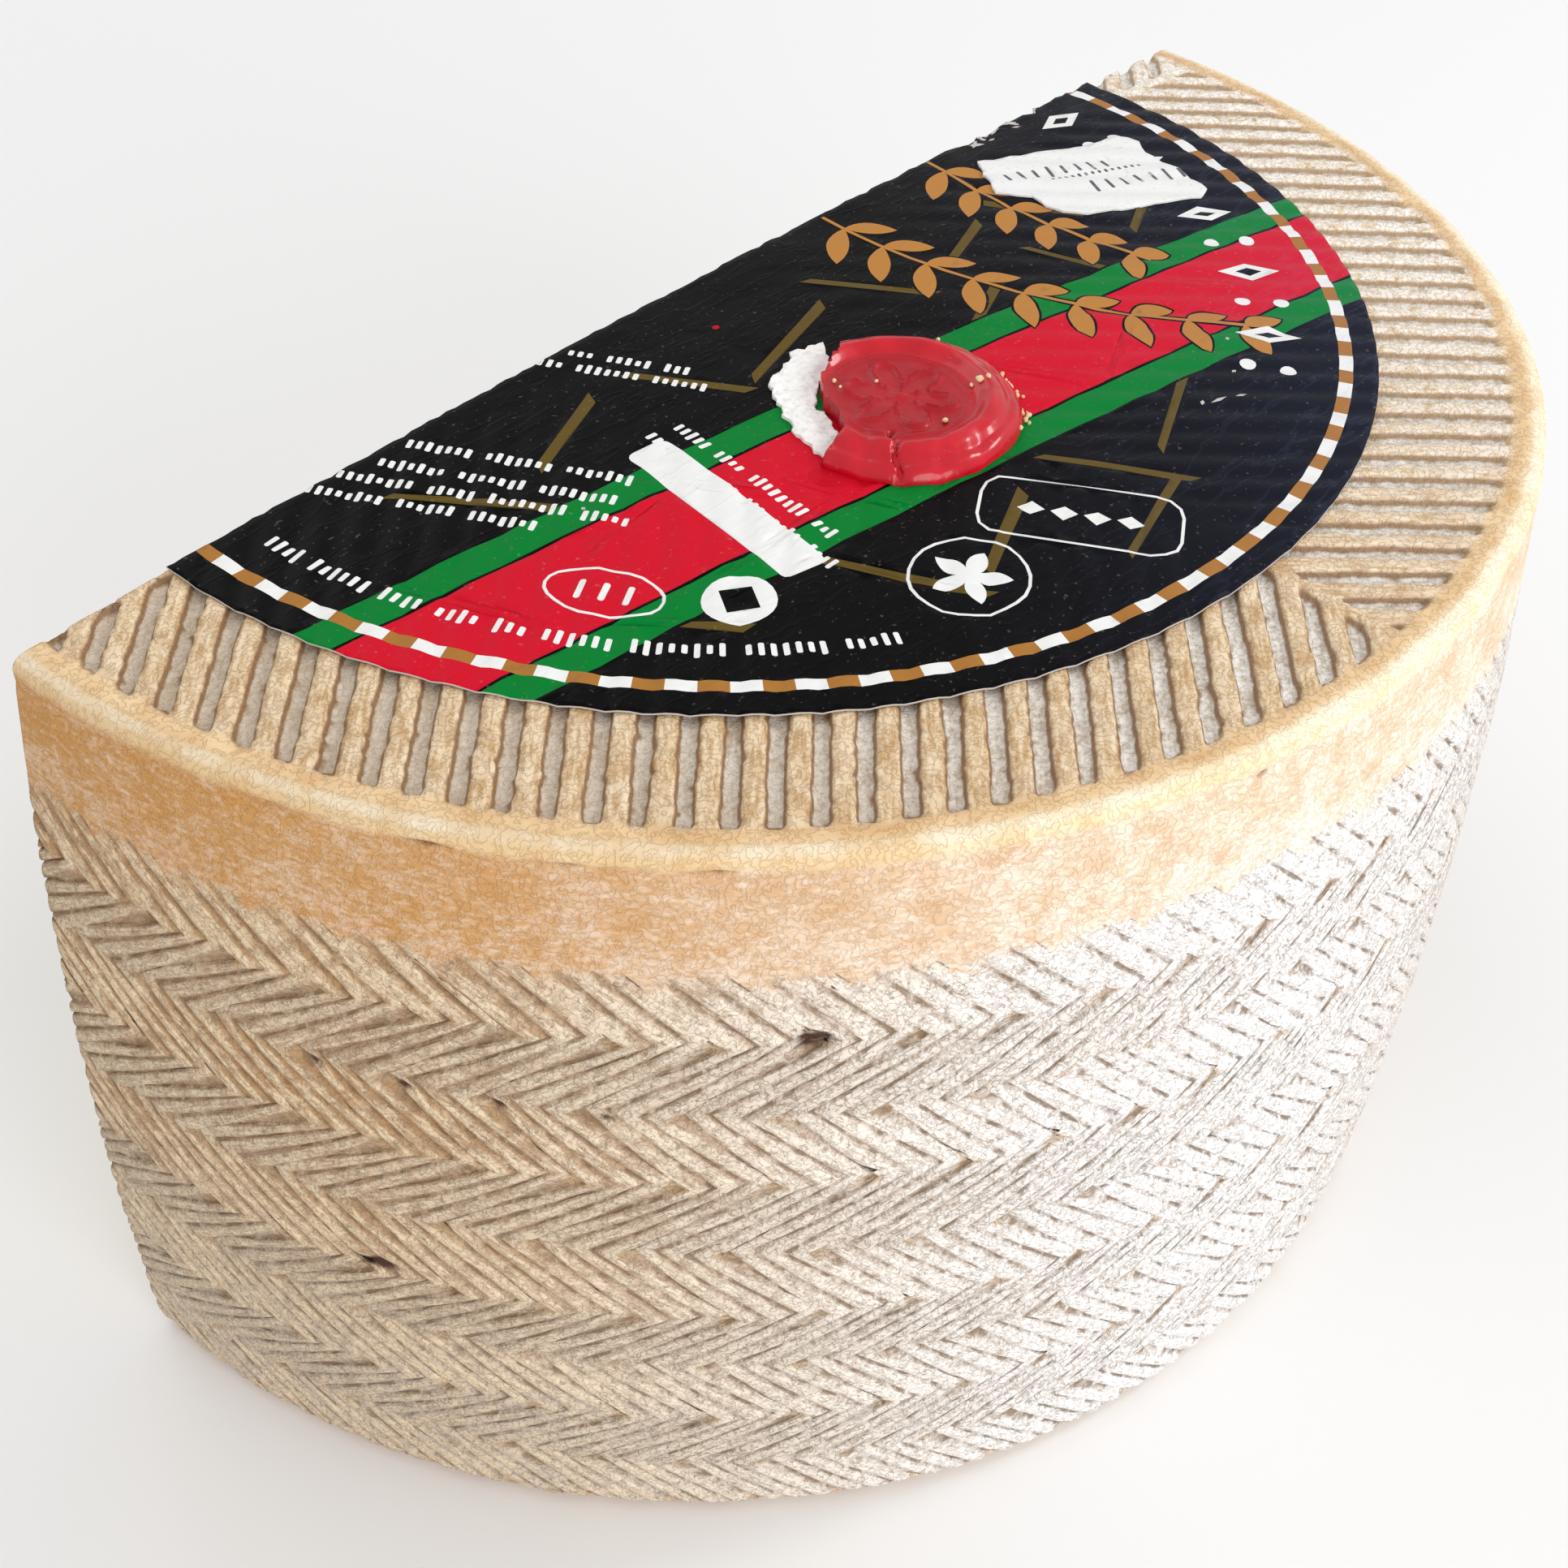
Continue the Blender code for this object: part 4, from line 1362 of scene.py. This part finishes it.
def make_crumbs():
    """Crumbs of cheese caught on the seal and beside it."""
    chance = random.Random(21)
    finish = Finish("crumb", Roughness=0.7)
    grain = finish.noise(0.7 * MM, 2.0)
    finish.colour(finish.tone(grain, (214, 176, 112), (246, 230, 190)))
    finish.bump(grain, 0.2 * MM, 0.7)
    places = list(CRUMBS)
    for number in range(SMALL_CRUMBS):
        bearing = chance.uniform(-64.0, 14.0)
        reach = SEAL_RADIUS + chance.uniform(-0.5, 0.5)
        places.append((*arc_place(reach, bearing, SEAL_CENTRE), chance.uniform(0.25, 0.7)))
    shape = bmesh.new()
    for x, y, size in places:
        made = bmesh.ops.create_icosphere(shape, subdivisions=2, radius=size * 0.5)["verts"]
        reach = math.hypot(x - SEAL_CENTRE[0], y - SEAL_CENTRE[1])
        where = (np.array([x]), np.array([y]))
        ground = label_top(*where)[0]
        if reach < SEAL_RADIUS - 0.7:
            ground += SEAL_FOOT + wax_height(where[0] - SEAL_CENTRE[0], where[1] - SEAL_CENTRE[1])[0]
        elif reach < SEAL_RADIUS + 0.2:
            ground += 0.4
        for vertex in made:
            swell = 1.0 + 0.45 * noise.noise(vertex.co * 2.4 + Vector((x, y, 0.0)))
            vertex.co = vertex.co * swell + Vector((x, y, ground + size * 0.3))
    mesh = bpy.data.meshes.new("crumbs")
    shape.to_mesh(mesh)
    shape.free()
    mesh.transform(Matrix.Translation((0.0, AXIS_Y, 0.0)) @ Matrix.Scale(MM, 4))
    mesh.shade_smooth()
    finish_piece(link_object("crumbs", mesh, (finish.material,)), "rind")


# The camera, the light and the floor
def make_camera():
    data = bpy.data.cameras.new("camera")
    data.sensor_width = 36.0
    data.lens = LENS
    azimuth = math.radians(AZIMUTH)
    elevation = math.radians(ELEVATION)
    roll = math.radians(ROLL)
    look = Vector((-math.sin(azimuth) * math.cos(elevation), math.cos(azimuth) * math.cos(elevation),
                   -math.sin(elevation)))
    level = Vector((math.cos(azimuth), math.sin(azimuth), 0.0))
    rise = level.cross(look)
    right = level * math.cos(roll) + rise * math.sin(roll)
    up = rise * math.cos(roll) - level * math.sin(roll)
    turn = Matrix((right, up, -look)).transposed().to_4x4()
    item = link_object("camera", data)
    item.matrix_world = Matrix.Translation(CAMERA_PLACE) @ turn
    bpy.context.scene.camera = item


def make_lamp(name, place, size, power):
    data = bpy.data.lights.new(name, "AREA")
    data.shape = "DISK"
    data.size = size
    data.energy = power
    item = link_object(name, data)
    item.location = place
    item.rotation_mode = "QUATERNION"
    item.rotation_quaternion = (Vector(LAMP_TARGET) - Vector(place)).to_track_quat("-Z", "Y")


def make_studio():
    mesh = bpy.data.meshes.new("floor")
    corners = [(side * FLOOR_REACH, front * FLOOR_REACH, FLOOR_HEIGHT)
               for side, front in ((-1, -1), (1, -1), (1, 1), (-1, 1))]
    mesh.from_pydata(corners, [], [(0, 1, 2, 3)])
    surface = Finish("floor", Roughness=0.9)
    tone = surface.noise(0.5, 1.0)
    surface.colour(surface.mix(tone, (0.88, 0.88, 0.88, 1.0), (0.9, 0.9, 0.9, 1.0)))
    link_object("floor", mesh, (surface.material,))
    for lamp in LAMPS:
        make_lamp(*lamp)
    world = bpy.data.worlds.new("world")
    bpy.context.scene.world = world
    world.use_nodes = True
    background = world.node_tree.nodes["Background"]
    background.inputs["Color"].default_value = (1.0, 1.0, 1.0, 1.0)
    background.inputs["Strength"].default_value = WORLD_STRENGTH
    bpy.context.scene.view_settings.view_transform = "Standard"


make_camera()
make_studio()
make_half_wheel()
make_label()
make_torn_paper()
make_sticker()
make_seal()
make_crumbs()
